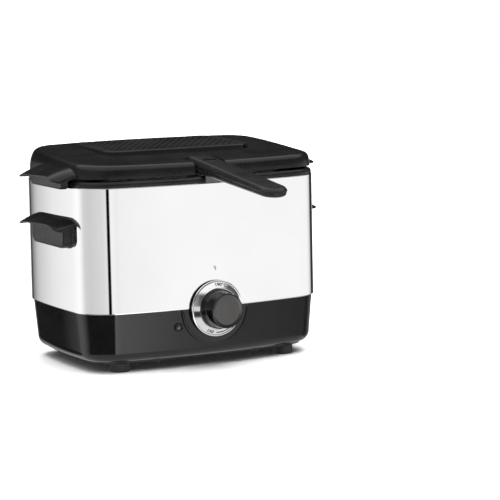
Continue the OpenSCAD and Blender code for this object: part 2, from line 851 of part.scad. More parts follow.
module filter_cover() {
  rise = (cover_front - cover_back) / (cover_y[1] - cover_y[0]);
  lid_at_front = lid_front_z + lid_slope * (cover_y[0] + body_d / 2 - 4);
  color("#171717") difference() {
    intersection() {
      linear_extrude(far) cover_plan(0);
      below(lid_at_front + cover_front, cover_y[0], lid_slope - rise);
    }
    lid_plane(cover_sunk);
    intersection() {
      linear_extrude(far) cover_plan(-4);
      below(lid_at_front + cover_front - 2, cover_y[0], lid_slope - rise);
    }
    for (x = [-66:hole_pitch:72], y = [-10:hole_pitch:66]) translate([x, y, 0])
      cylinder(h = far, r = 3.4, $fn = 6);
    translate([cover_x[1] - 2, cover_y[0], 0]) cylinder(h = far, r = 8);
  }
}

module filter_mesh() {
  color("#9fa1a4") difference() {
    intersection() {
      linear_extrude(far) cover_plan(-6.5);
      lid_plane(mesh_sunk - filter_t);
    }
    lid_plane(mesh_sunk);
    for (x = [-60:14:66], y = [-4:14:60]) translate([x, y, 0]) cylinder(h = far, r = 4.5, $fn = 6);
  }
}

// puts a sub-part in the finished object's frame
module placed() {
  translate([0, centre_shift, 0]) children();
}

placed() base_housing();
placed() bottom_plate();
placed() rubber_feet();
placed() base_screws();
placed() steel_shell();
placed() collar();
placed() body_handle_left();
placed() body_handle_right();
placed() handle_fixing_screws();
placed() tie_screws();
placed() bowl();
placed() bowl_seal();
placed() bowl_screws();
placed() heating_element();
placed() heat_shield();
placed() shield_screws();
placed() thermostat_body();
placed() thermostat_bracket();
placed() sensor_bulb();
placed() thermal_cutout();
placed() terminal_block();
placed() wiring_loom();
placed() earth_lead();
placed() pilot_lens();
placed() pilot_lamp();
placed() cord_gland();
placed() knob();
placed() dial_ring();
placed() thermostat_shaft();
placed() knob_clip();
placed() basket_tub();
placed() basket_rim();
placed() handle_bracket();
placed() handle_upper();
placed() handle_lower();
placed() handle_screws();
placed() handle_pin();
placed() release_button();
placed() button_spring();
placed() lid_shell();
placed() lid_liner();
placed() lid_screws();
placed() filter_cover();
placed() filter_mesh();
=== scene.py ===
import json
import math

import bmesh
import bpy
import numpy as np
from mathutils import Matrix, Vector


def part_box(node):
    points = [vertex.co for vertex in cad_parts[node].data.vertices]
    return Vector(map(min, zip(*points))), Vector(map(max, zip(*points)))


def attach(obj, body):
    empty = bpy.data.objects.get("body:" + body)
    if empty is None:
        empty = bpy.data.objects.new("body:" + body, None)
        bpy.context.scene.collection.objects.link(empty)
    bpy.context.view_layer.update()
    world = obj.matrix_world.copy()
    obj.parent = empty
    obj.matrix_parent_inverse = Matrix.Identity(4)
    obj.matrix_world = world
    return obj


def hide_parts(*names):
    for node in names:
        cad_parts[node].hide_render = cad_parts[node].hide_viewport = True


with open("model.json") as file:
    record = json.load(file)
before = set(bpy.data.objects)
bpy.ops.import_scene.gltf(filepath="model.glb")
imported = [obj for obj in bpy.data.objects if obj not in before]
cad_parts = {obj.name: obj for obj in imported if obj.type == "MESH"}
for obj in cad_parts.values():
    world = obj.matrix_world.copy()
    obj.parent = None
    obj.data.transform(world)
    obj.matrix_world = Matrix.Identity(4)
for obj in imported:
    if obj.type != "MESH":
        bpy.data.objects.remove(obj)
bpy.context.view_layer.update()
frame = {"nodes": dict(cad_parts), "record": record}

MM = 0.001
SLOT_OF = {s["node"]: s["material_slot"] for s in frame["record"]["subparts"]}
BODY_OF = {n: b for b, ns in frame["record"]["behaviour"]["bodies"].items() for n in ns}


def box_mm(node):
    """A CAD node's corners in millimetres, with Y counted from the middle of the steel body."""
    low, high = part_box(node)
    shift = Vector((0, CENTRE_Y, 0))
    return (low - shift) / MM, (high - shift) / MM


shell_low, shell_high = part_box("steel_shell")
CENTRE_Y = (shell_low.y + shell_high.y) / 2
shell_low, shell_high = box_mm("steel_shell")

# ---------------------------------------------------------------- sizes, in millimetres
BODY_W = shell_high.x - shell_low.x
BODY_D = shell_high.y - shell_low.y
SEAM_Z = shell_low.z
SHELL_TOP = shell_high.z
CORNER_R = 40
FRONT_R = 617
SIDE_R = 679
BASE_Z = box_mm("base_housing")[0].z
COLLAR_TOP = box_mm("collar")[1].z
DIAL_LOW, DIAL_HIGH = box_mm("dial_ring")
DIAL_Z = (DIAL_LOW.z + DIAL_HIGH.z) / 2
DIAL_R = (DIAL_HIGH.z - DIAL_LOW.z) / 2
DIAL_BACK = DIAL_HIGH.y
KNOB_LOW, KNOB_HIGH = box_mm("knob")
BOSS_R = 36.6
LID_Z = 192
LID_INSET = 4
LID_FRONT_Z = 204.2
LID_SLOPE = 0.072
HOOD_OUT = box_mm("lid_shell")[1].x
GRIP_OUT = 143
GRIP_Y = (-54, 27)
BODY_HOOD_Y = (-60, 33)
LID_HOOD_Y = (-60, 29)
COVER_LOW, COVER_HIGH = box_mm("filter_cover")
NOTCH_X = (-17, 18)
NOTCH_Y = -62
HANDLE_LOW, HANDLE_HIGH = box_mm("handle_upper")
HANDLE_R = (HANDLE_HIGH.x - HANDLE_LOW.x) / 2
HANDLE_END = HANDLE_LOW.y + HANDLE_R    # the middle of the handle's round end
PIN_LOW, PIN_HIGH = box_mm("handle_pin")
PIN_Y = (PIN_LOW.y + PIN_HIGH.y) / 2
PIN_Z = (PIN_LOW.z + PIN_HIGH.z) / 2
RIM_LOW, RIM_HIGH = box_mm("basket_rim")
TUB_LOW, TUB_HIGH = box_mm("basket_tub")
TUB_TAPER = 5                           # how far each wall comes in on its way down
TUB_R, TUB_R_TAPER = 44, 4              # the corners' radius, and how much smaller it is below


# ---------------------------------------------------------------- outlines and curves
def arc(centre, radius, a0, a1, count):
    """Points of an arc, from a0 to a1 degrees."""
    a = np.radians(np.linspace(a0, a1, count + 1))
    return np.stack([centre[0] + radius * np.cos(a), centre[1] + radius * np.sin(a)], 1)


def body_corner():
    """Centre of the corner circle that touches both bows, and the angles where it meets them."""
    front = np.array([0, FRONT_R - BODY_D / 2])
    side = np.array([BODY_W / 2 - SIDE_R, 0])
    gap = np.linalg.norm(side - front)
    way = (side - front) / gap
    reach_f, reach_s = FRONT_R - CORNER_R, SIDE_R - CORNER_R
    along = (reach_f ** 2 - reach_s ** 2 + gap ** 2) / (2 * gap)
    across = math.sqrt(reach_f ** 2 - along ** 2)
    corner = front + way * along + np.array([-way[1], way[0]]) * across
    turn_f = math.degrees(math.atan2(corner[0], front[1] - corner[1]))
    turn_s = math.degrees(math.atan2(-corner[1], corner[0] - side[0]))
    return front, side, corner, turn_f, turn_s


FRONT_C, SIDE_C, CORNER_C, FRONT_TURN, SIDE_TURN = body_corner()


def body_outline(inset, front=24, corner=22, side=14):
    """The body's outline moved inwards, anticlockwise from the middle of the front."""
    quarter = np.concatenate([
        arc(FRONT_C, FRONT_R - inset, -90, -90 + FRONT_TURN, front),
        arc(CORNER_C, CORNER_R - inset, -90 + FRONT_TURN, -SIDE_TURN, corner)[1:],
        arc(SIDE_C, SIDE_R - inset, -SIDE_TURN, 0, side)[1:],
    ])
    back = quarter[::-1][1:] * [1, -1]
    half = np.concatenate([quarter, back])
    return np.concatenate([half, half[::-1][1:-1] * [-1, 1]])


def rounded_rect(width, depth, radius, corner=12, centre=(0, 0), sides=1):
    """A rounded rectangle, anticlockwise from the middle of the front."""
    x, y = width / 2 - radius, depth / 2 - radius
    corners = [arc((x, -y), radius, -90, 0, corner), arc((x, y), radius, 0, 90, corner),
               arc((-x, y), radius, 90, 180, corner), arc((-x, -y), radius, 180, 270, corner)]
    points = np.concatenate(corners)
    if sides > 1:
        points = fill_gaps(points, sides)
    return points + np.array(centre)


def fill_gaps(points, longest):
    """Adds points along the long stretches of a closed outline."""
    out = []
    for a, b in zip(points, np.roll(points, -1, axis=0)):
        n = max(1, math.ceil(np.linalg.norm(b - a) / longest))
        out += [a + (b - a) * i / n for i in range(n)]
    return np.array(out)


def resample(points, count):
    """A closed outline with evenly spaced points, starting at its first point."""
    loop = np.concatenate([points, points[:1]])
    run = np.concatenate([[0], np.cumsum(np.linalg.norm(np.diff(loop, axis=0), axis=1))])
    at = np.linspace(0, run[-1], count, endpoint=False)
    return np.stack([np.interp(at, run, loop[:, 0]), np.interp(at, run, loop[:, 1])], 1)


def spline(points, per_span):
    """A smooth curve through the points."""
    p = np.array(points, float)
    p = np.concatenate([[2 * p[0] - p[1]], p, [2 * p[-1] - p[-2]]])
    out = []
    for i in range(1, len(p) - 2):
        for t in np.linspace(0, 1, per_span, endpoint=False):
            a, b, c, d = p[i - 1], p[i], p[i + 1], p[i + 2]
            out.append(0.5 * (2 * b + (c - a) * t + (2 * a - 5 * b + 4 * c - d) * t ** 2
                              + (3 * b - a - 3 * c + d) * t ** 3))
    out.append(p[-2])
    return np.array(out)


def soft_min(a, b, k):
    h = np.maximum(k - np.abs(a - b), 0) / k
    return np.minimum(a, b) - h * h * k / 4


def smooth_step(x, low, high):
    t = np.clip((x - low) / (high - low), 0, 1)
    return t * t * (3 - 2 * t)


# ---------------------------------------------------------------- meshes
def add_object(name, data):
    """A new object in the scene."""
    obj = bpy.data.objects.new(name, data)
    bpy.context.scene.collection.objects.link(obj)
    return obj


def new_piece(name, verts_mm, faces, smooth_angle=32):
    """A mesh object from points in millimetres, Y counted from the middle of the steel body."""
    verts = np.array(verts_mm, float) * MM + [0, CENTRE_Y, 0]
    mesh = bpy.data.meshes.new(name)
    mesh.from_pydata(verts.tolist(), [], [tuple(int(i) for i in f) for f in faces])
    mesh.validate()
    tidy_normals(mesh)
    shade(mesh, smooth_angle)
    return add_object(name, mesh)


def tidy_normals(mesh):
    bm = bmesh.new()
    bm.from_mesh(mesh)
    bmesh.ops.remove_doubles(bm, verts=bm.verts, dist=1e-7)
    bmesh.ops.recalc_face_normals(bm, faces=bm.faces)
    bm.to_mesh(mesh)
    bm.free()


def shade(mesh, angle):
    mesh.shade_smooth()
    mesh.set_sharp_from_angle(angle=math.radians(angle))


def rings_to_mesh(rings, loop=False, caps=True):
    """Vertices and faces that join rings of equally many points. loop joins the last to the
    first, and caps closes the two ends."""
    n = len(rings[0])
    verts = np.concatenate(rings)
    faces = []
    spans = len(rings) if loop else len(rings) - 1
    for r in range(spans):
        a, b = r * n, ((r + 1) % len(rings)) * n
        faces += [(a + i, a + (i + 1) % n, b + (i + 1) % n, b + i) for i in range(n)]
    if caps and not loop:
        faces.append(tuple(range(n))[::-1])
        faces.append(tuple(range((len(rings) - 1) * n, len(rings) * n)))
    return verts, faces


def flat_ring(outline, z):
    return np.column_stack([outline, np.full(len(outline), float(z))])


def loft(name, rings, loop=False, caps=True, smooth_angle=32):
    return new_piece(name, *rings_to_mesh(rings, loop, caps), smooth_angle)


def lathe(name, profile, centre, axis="-Y", count=128, smooth_angle=32, closed=False):
    """A turned piece about the axis -Y or Z. profile lists (radius, distance along the axis)."""
    rings = []
    a = np.linspace(0, 2 * math.pi, count, endpoint=False)
    for radius, along in profile:
        u, v = radius * np.cos(a), radius * np.sin(a)
        if axis == "-Y":
            ring = np.stack([u, np.full(count, -along), v], 1)
        else:
            ring = np.stack([u, v, np.full(count, along)], 1)
        rings.append(ring + np.array(centre))
    return loft(name, rings, loop=closed, caps=not closed, smooth_angle=smooth_angle)


def joined(name, parts):
    """One object from several, which are removed."""
    bpy.ops.object.select_all(action="DESELECT")
    for p in parts:
        p.select_set(True)
    bpy.context.view_layer.objects.active = parts[0]
    bpy.ops.object.join()
    parts[0].name = name
    parts[0].data.name = name
    return parts[0]


def apply_modifiers(obj):
    graph = bpy.context.evaluated_depsgraph_get()
    mesh = bpy.data.meshes.new_from_object(obj.evaluated_get(graph))
    obj.modifiers.clear()
    old = obj.data
    obj.data = mesh
    mesh.name = obj.name
    bpy.data.meshes.remove(old)


def curve_mesh(name, curve):
    """The mesh that a curve or a text makes."""
    holder = add_object(name, curve)
    graph = bpy.context.evaluated_depsgraph_get()
    mesh = bpy.data.meshes.new_from_object(holder.evaluated_get(graph))
    bpy.data.objects.remove(holder)
    return mesh


def carve(obj, cutters, operation="DIFFERENCE"):
    """Cuts the cutters out of obj, or joins them to it, and removes them."""
    for cutter in cutters:
        m = obj.modifiers.new("cut", "BOOLEAN")
        m.operation = operation
        m.solver = "EXACT"
        m.object = cutter
        apply_modifiers(obj)
        bpy.data.objects.remove(cutter)
    return obj


def soften(obj, width, angle=40, segments=3):
    """Rounds the sharp edges of obj."""
    m = obj.modifiers.new("soft edges", "BEVEL")
    m.width = width * MM
    m.segments = segments
    m.limit_method = "ANGLE"
    m.angle_limit = math.radians(angle)
    m.harden_normals = True
    m.use_clamp_overlap = True
    return obj


def block(name, low, high):
    """A plain cutter."""
    outline = np.array([[low[0], low[1]], [high[0], low[1]], [high[0], high[1]], [low[0], high[1]]])
    return loft(name, [flat_ring(outline, low[2]), flat_ring(outline, high[2])])


def prism(name, outline, z0, z1):
    return loft(name, [flat_ring(outline, z0), flat_ring(outline, z1)])


# ---------------------------------------------------------------- materials
class Nodes:
    """A short way to write a material's nodes."""

    def __init__(self, name, **sockets):
        self.material = bpy.data.materials.new(name)
        self.material.use_nodes = True
        self.tree = self.material.node_tree
        self.bsdf = self.tree.nodes["Principled BSDF"]
        for key, value in sockets.items():
            self.bsdf.inputs[key.replace("_", " ")].default_value = value
        coords = self.tree.nodes.new("ShaderNodeTexCoord")
        self.coords = coords.outputs["Object"]

    def add(self, kind, inputs=None, **fields):
        node = self.tree.nodes.new("ShaderNode" + kind)
        for key, value in fields.items():
            setattr(node, key, value)
        for key, value in (inputs or {}).items():
            if isinstance(value, bpy.types.NodeSocket):
                self.tree.links.new(value, node.inputs[key])
            else:
                node.inputs[key].default_value = value
        return node

    def noise(self, scale, detail=2, roughness=0.5, stretch=(1, 1, 1)):
        """Noise with features about 1/scale metres across, drawn out along the axes by stretch."""
        where = self.add("Mapping", {"Vector": self.coords, "Scale": stretch}).outputs[0]
        node = self.add("TexNoise", {"Vector": where, "Scale": scale, "Detail": detail,
                                     "Roughness": roughness})
        return node.outputs["Fac"]

    def cells(self, scale, out="Distance"):
        node = self.add("TexVoronoi", {"Vector": self.coords, "Scale": scale}, feature="F1")
        return node.outputs[out]

    def between(self, value, low, high, from_low=0.3, from_high=0.7):
        """Maps a value between from_low and from_high to the range from low to high."""
        node = self.add("MapRange", {"Value": value, "From Min": from_low, "From Max": from_high,
                                     "To Min": low, "To Max": high})
        return node.outputs[0]

    def mix(self, fac, a, b):
        node = self.add("Mix", {0: fac}, data_type="RGBA")
        for socket, value in ((node.inputs[6], a), (node.inputs[7], b)):
            if isinstance(value, bpy.types.NodeSocket):
                self.tree.links.new(value, socket)
            else:
                socket.default_value = (*value, 1)
        return node.outputs[2]

    def math(self, operation, a, b):
        node = self.add("Math", {0: a, 1: b}, operation=operation)
        return node.outputs[0]

    def bump(self, height, depth_mm):
        inputs = {"Height": height, "Strength": 1.0, "Distance": depth_mm * MM}
        return self.add("Bump", inputs).outputs[0]

    def set(self, **links):
        for key, value in links.items():
            self.tree.links.new(value, self.bsdf.inputs[key.replace("_", " ")])
        return self.material

    def surface(self, mask, colours, roughness, height, depth_mm):
        """Colour and roughness that follow one mask, over a fine relief."""
        return self.set(Base_Color=self.mix(self.between(mask, 0, 1), *colours),
                        Roughness=self.between(mask, *roughness),
                        Normal=self.bump(height, depth_mm))


def moulded_black(name, colour, rough, grain_mm, grain_depth, shine=0.28):
    """Black moulded plastic: a fine spark-eroded grain, faint flow marks and handled patches."""
    n = Nodes(name, Specular_IOR_Level=shine)
    patches = n.noise(28, 3, 0.55)
    grain = n.noise(1000 / grain_mm, 2, 0.6)
    lighter = tuple(c * 1.5 + 0.001 for c in colour)
    tint = n.mix(n.between(patches, 0, 1), colour, lighter)
    roughness = n.math("ADD", n.between(patches, rough - 0.035, rough + 0.04),
                       n.between(grain, -0.02, 0.02))
    normal = n.bump(grain, grain_depth)
    return n.set(Base_Color=tint, Roughness=roughness, Normal=normal)


def polished_steel(name, colour=(0.92, 0.92, 0.92), rough=0.05, brush=(0.35, 0.35, 60)):
    """Bright sheet with hair-fine polishing lines and a trace of smears."""
    n = Nodes(name, Metallic=1.0)
    lines = n.noise(260, 3, 0.7, brush)
    smears = n.noise(14, 4, 0.6)
    tint = n.mix(n.between(smears, 0, 1), colour, tuple(c * 0.965 for c in colour))
    roughness = n.math("ADD", n.between(smears, rough - 0.01, rough + 0.015),
                       n.between(lines, -0.008, 0.012))
    normal = n.bump(lines, 0.0002)
    return n.set(Base_Color=tint, Roughness=roughness, Normal=normal)


def brushed_metal(name, colour, rough, stretch=(1, 40, 40), depth=0.004):
    """Drawn or brushed metal: lines along the axis that stretch leaves at 1."""
    n = Nodes(name, Metallic=1.0)
    lines = n.noise(60, 3, 0.7, stretch)
    patches = n.noise(22, 3, 0.6)
    tint = n.mix(n.between(patches, 0, 1), colour, tuple(c * 0.82 for c in colour))
    roughness = n.math("ADD", n.between(patches, rough - 0.05, rough + 0.06),
                       n.between(lines, -0.05, 0.05))
    return n.set(Base_Color=tint, Roughness=roughness, Normal=n.bump(lines, depth))


def galvanised(name):
    """Zinc-coated sheet with its crystal spangle."""
    n = Nodes(name, Metallic=1.0)
    spangle = n.cells(180, out="Color")
    grey = n.add("RGBToBW", {"Color": spangle}).outputs[0]
    tint = n.mix(grey, (0.52, 0.53, 0.54), (0.68, 0.69, 0.70))
    fine = n.noise(900, 2)
    return n.set(Base_Color=tint, Roughness=n.between(grey, 0.28, 0.46, 0, 1),
                 Normal=n.bump(fine, 0.004))


def non_stick(name):
    """Dark baked coating with a fine pale fleck and an orange-peel surface."""
    n = Nodes(name, Specular_IOR_Level=0.5, Coat_Weight=0.25, Coat_Roughness=0.2)
    flecks = n.cells(900)
    peel = n.noise(420, 2)
    spots = n.between(flecks, 1, 0, 0.06, 0.16)
    tint = n.mix(spots, (0.032, 0.033, 0.035), (0.30, 0.30, 0.31))
    patches = n.noise(20, 3)
    return n.set(Base_Color=tint, Roughness=n.between(patches, 0.3, 0.42),
                 Normal=n.bump(peel, 0.012))


def rubber_like(name, colour, rough=0.62, grain_mm=0.5):
    """Dull rubber or wire insulation with a trace of dust."""
    n = Nodes(name, Specular_IOR_Level=0.35)
    grain = n.noise(1000 / grain_mm, 3, 0.6)
    dust = n.noise(60, 4, 0.65)
    dusty = tuple(min(1, c * 1.35 + 0.012) for c in colour)
    return n.surface(dust, (colour, dusty), (rough - 0.06, rough + 0.1), grain, 0.02)


def ceramic_like(name, colour, rough=0.5):
    """Porous pale ceramic or thermoset with faint stains."""
    n = Nodes(name, Specular_IOR_Level=0.45)
    pores = n.noise(1500, 3, 0.7)
    stains = n.noise(45, 4, 0.6)
    stained = tuple(c * 0.82 for c in colour)
    return n.surface(stains, (colour, stained), (rough - 0.08, rough + 0.1), pores, 0.015)


def spun_metal(name, colour, rough):
    """Metal turned on a lathe: faint rings about the dial's own axis."""
    n = Nodes(name, Metallic=1.0)
    to_axis = (0, 0, -DIAL_Z * MM)
    moved = n.add("VectorMath", {0: n.coords, 1: to_axis}, operation="ADD").outputs[0]
    flat = n.add("VectorMath", {0: moved, 1: (1, 0, 1)}, operation="MULTIPLY").outputs[0]
    radius = n.add("VectorMath", {0: flat}, operation="LENGTH").outputs["Value"]
    rings = n.add("TexNoise", {"W": radius, "Scale": 2600, "Detail": 2}, noise_dimensions="1D")
    smears = n.noise(50, 3, 0.6)
    smeared = tuple(c * 0.93 for c in colour)
    return n.surface(smears, (colour, smeared), (rough - 0.03, rough + 0.03),
                     rings.outputs["Fac"], 0.0012)


def smoky_lens(name):
    """Dark smoky red lens that isn't lit."""
    n = Nodes(name, Specular_IOR_Level=0.5, Coat_Weight=0.8, Coat_Roughness=0.05)
    depth = n.noise(700, 2)
    reds = (0.060, 0.048, 0.050), (0.085, 0.070, 0.072)
    return n.surface(depth, reds, (0.10, 0.2), depth, 0.004)


def lamp_glass(name):
    """The pilot lamp's lightly smoked glass."""
    n = Nodes(name, IOR=1.5, Transmission_Weight=0.5)
    smoke = n.noise(120, 3)
    return n.surface(smoke, ((0.86, 0.80, 0.74), (0.7, 0.6, 0.52)), (0.06, 0.16), smoke, 0.003)


def printed(name, colour):
    """Screen-printed ink: slightly uneven at its edges and surface."""
    n = Nodes(name, Specular_IOR_Level=0.4)
    grain = n.noise(2500, 3, 0.6)
    paler = tuple(c * 1.3 + 0.01 for c in colour)
    return n.surface(grain, (colour, paler), (0.4, 0.55), grain, 0.004)


def heated_sheath(name):
    """Element sheath: oxidised steel with straw and blue heat tints."""
    n = Nodes(name, Metallic=1.0)
    tints = n.noise(30, 3, 0.6)
    fine = n.noise(700, 3)
    warm = n.mix(n.between(tints, 0, 1), (0.25, 0.23, 0.22), (0.34, 0.24, 0.15))
    tint = n.mix(n.between(n.noise(17, 2), 0, 0.6), warm, (0.16, 0.17, 0.22))
    return n.set(Base_Color=tint, Roughness=n.between(fine, 0.36, 0.5),
                 Normal=n.bump(fine, 0.01))


MATERIALS = {
    "base_black": moulded_black("base_black", (0.0045, 0.0042, 0.0045), 0.04, 2.6, 0.0006, 0.46),
    "plate_black": moulded_black("plate_black", (0.032, 0.032, 0.033), 0.5, 0.45, 0.02),
    "foot_rubber": rubber_like("foot_rubber", (0.022, 0.022, 0.023)),
    "fastener_steel": brushed_metal("fastener_steel", (0.56, 0.57, 0.58), 0.34),
    "screw_black": brushed_metal("screw_black", (0.06, 0.06, 0.062), 0.42),
    "body_steel": polished_steel("body_steel"),
    "trim_black": moulded_black("trim_black", (0.008, 0.008, 0.008), 0.26, 0.42, 0.005),
    "bowl_coating": non_stick("bowl_coating"),
    "seal_silicone": rubber_like("seal_silicone", (0.36, 0.08, 0.06), 0.45),
    "element_sheath": heated_sheath("element_sheath"),
    "shield_zinc": galvanised("shield_zinc"),
    "thermostat_case": ceramic_like("thermostat_case", (0.72, 0.66, 0.54)),
    "sensor_copper": brushed_metal("sensor_copper", (0.70, 0.38, 0.24), 0.3),
    "cutout_case": brushed_metal("cutout_case", (0.78, 0.78, 0.79), 0.26),
    "terminal_white": ceramic_like("terminal_white", (0.84, 0.82, 0.76), 0.4),
    "wire_red": rubber_like("wire_red", (0.48, 0.06, 0.04), 0.5, 0.3),
    "wire_green": rubber_like("wire_green", (0.08, 0.34, 0.10), 0.5, 0.3),
    "pilot_red": smoky_lens("pilot_red"),
    "lamp_glass": lamp_glass("lamp_glass"),
    "knob_black": moulded_black("knob_black", (0.003, 0.003, 0.0031), 0.1, 0.5, 0.001, 0.3),
    "knob_face": spun_metal("knob_face", (0.125, 0.122, 0.12), 0.32),
    "etched_grey": printed("etched_grey", (0.23, 0.23, 0.235)),
    "ring_chrome": spun_metal("ring_chrome", (0.88, 0.88, 0.89), 0.1),
    "shaft_steel": brushed_metal("shaft_steel", (0.62, 0.62, 0.63), 0.25, (40, 1, 40)),
    "basket_wire": brushed_metal("basket_wire", (0.78, 0.78, 0.79), 0.18, (20, 20, 20), 0.002),
    "bracket_steel": brushed_metal("bracket_steel", (0.15, 0.15, 0.153), 0.3),
    "handle_black": moulded_black("handle_black", (0.009, 0.009, 0.0092), 0.27, 0.45, 0.005),
    "button_black": moulded_black("button_black", (0.010, 0.010, 0.010), 0.42, 0.35, 0.02),
    "spring_steel": brushed_metal("spring_steel", (0.55, 0.56, 0.57), 0.3),
    "lid_black": moulded_black("lid_black", (0.0055, 0.0055, 0.0052), 0.22, 0.5, 0.003),
    "liner_aluminium": brushed_metal("liner_aluminium", (0.64, 0.65, 0.66), 0.32, (2, 60, 60)),
    "grille_black": moulded_black("grille_black", (0.008, 0.008, 0.008), 0.3, 0.42, 0.006),
    "filter_metal": brushed_metal("filter_metal", (0.66, 0.67, 0.68), 0.3),
}


def dress(obj, node, body=None, replaces=True):
    """Gives a new piece its CAD node's material slot and body, and hides that node."""
    obj.data.materials.clear()
    obj.data.materials.append(MATERIALS[SLOT_OF[node]])
    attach(obj, body or BODY_OF[node])
    if replaces:
        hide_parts(node)
    return obj


def dress_cad_nodes():
    """Every carried-over CAD node gets its material and smooth shading, and those listed in soft get
    soft edges too.
    """
    soft = {"handle_bracket": 0.35, "release_button": 0.5, "rubber_feet": 0.8,
            "cord_gland": 0.5, "bottom_plate": 0.4, "handle_pin": 0.3, "knob_clip": 0.2,
            "terminal_block": 0.6, "thermostat_body": 0.6}
    for name, obj in frame["nodes"].items():
        obj.data.materials.clear()
        obj.data.materials.append(MATERIALS[SLOT_OF[name]])
        shade(obj.data, 30)
        if name in soft:
            soften(obj, soft[name], 35)


# ---------------------------------------------------------------- body
def steel_shell():
    """The bowed sheet: hemmed at the bottom, drawn in a touch towards the top."""
    profile = [(5, SEAM_Z), (0.5, SEAM_Z), (0.2, SEAM_Z + 0.05), (0.05, SEAM_Z + 0.2),
               (0, SEAM_Z + 0.5)]
    profile += [(0.25 * t, SEAM_Z + 0.5 + (SHELL_TOP - SEAM_Z - 1.0) * t)
                for t in [0.003] + list(np.linspace(0.03, 0.97, 12)) + [0.997, 1]]
    profile += [(0.3, SHELL_TOP - 0.2), (0.45, SHELL_TOP - 0.05), (0.75, SHELL_TOP),
                (6, SHELL_TOP), (6, SHELL_TOP - 0.8), (1.4, SHELL_TOP - 0.8),
                (0.9, SEAM_Z + 0.8), (5, SEAM_Z + 0.8)]
    rings = []
    for inset, z in profile:
        outline = body_outline(inset, 40, 32, 20)
        seam = np.exp(-(outline[:, 0] / 0.35) ** 2) * (outline[:, 1] > 0)
        outline[:, 1] -= 0.25 * seam
        rings.append(flat_ring(outline, z))
    return dress(loft("steel_sheet", rings, loop=True), "steel_shell")


def base_profile():
    """(inset, height) from the seam down the tapered wall and round the lower edge."""
    wall = [(2 + 3.3 * t, SEAM_Z - (SEAM_Z - 22) * t) for t in np.linspace(0, 1, 16)]
    lower = [(5.3 + 9.2 * (1 - math.cos(a)), 22 - (22 - BASE_Z) * math.sin(a))
             for a in np.linspace(0.06, math.pi / 2, 16)]
    return wall + lower


def base_housing():
    """The glossy base: a wall that tapers downwards and turns under in a large radius."""
    wall = 2.4
    profile = [(4.4, SEAM_Z - 0.01), (2.6, SEAM_Z - 0.01)] + base_profile()
    profile += [(18, BASE_Z), (18, BASE_Z + wall)]
    profile += [(i + wall, z + wall * (z < 24)) for i, z in base_profile()[::-4]]
    rings = [flat_ring(body_outline(i, 30, 26, 14), z) for i, z in profile]
    return dress(loft("base_moulding", rings, loop=True, smooth_angle=50), "base_housing")


def dial_boss():
    """The upright boss that carries the dial: a disc cut off at the seam, with a rounded edge.
    Its rings are (shrink, sink) from the flat back, which has no sink, to the front."""
    back, edge = -91, 0.7
    rings = []
    for shrink, sink in ((0, None), (0, edge + 0.1), (0.08, edge * 0.6),
                         (0.3, edge * 0.25), (edge, 0.02), (edge + 0.2, 0), (edge + 0.35, 0.9),
                         (edge + 1.25, 0.9), (edge + 1.4, 0), (8, 0)):
        r = BOSS_R - shrink
        top = SEAM_Z - 0.05 - min(shrink, edge) * 0.3
        half = math.degrees(math.asin((top - DIAL_Z) / r))
        o = arc((0, DIAL_Z), r, 180 - half, 360 + half, 90)
        chord = np.column_stack([np.linspace(o[-1, 0], o[0, 0], 40)[1:-1], np.full(38, top)])
        o = np.concatenate([o, chord])
        if edge < shrink:
            sink = sink * smooth_step(top - o[:, 1], 0.5, 4)
        if sink is None:
            y = np.full(len(o), float(back))
        else:
            y = -BODY_D / 2 + o[:, 0] ** 2 / (2 * FRONT_R) + 0.35 + sink
        rings.append(np.column_stack([o[:, 0], y, o[:, 1]]))
    boss = loft("dial_boss", rings, smooth_angle=40)
    return dress(boss, "base_housing", replaces=False)


def collar():
    """The black rim: rolled over at its top, with the bowl's mouth inside."""
    count = 320
    curve = spline([(0.9, SHELL_TOP), (0.85, SHELL_TOP + 2.2), (1.2, 187.8), (2.3, 189.3),
                    (4.2, COLLAR_TOP - 0.1), (6.5, COLLAR_TOP - 0.02)], 4)
    rings = [flat_ring(resample(body_outline(i), count), z) for i, z in curve]
    rings.append(flat_ring(resample(body_outline(9), count), COLLAR_TOP - 0.02))
    mouth_w, mouth_d, mouth_r = 217, 153, 51.5
    for grow, z in ((2.4, COLLAR_TOP - 0.02), (0.8, COLLAR_TOP - 0.4), (0, COLLAR_TOP - 1.4),
                    (0, 187.2), (19, 187.2), (19, SHELL_TOP)):
        outline = rounded_rect(mouth_w + grow, mouth_d + grow, mouth_r + grow / 2, 24, sides=4)
        start = np.argmin(np.hypot(outline[:, 0], outline[:, 1] + (mouth_d + grow) / 2))
        rings.append(flat_ring(resample(np.roll(outline, -start, axis=0), count), z))
    return dress(loft("collar_rim", rings, loop=True), "collar")


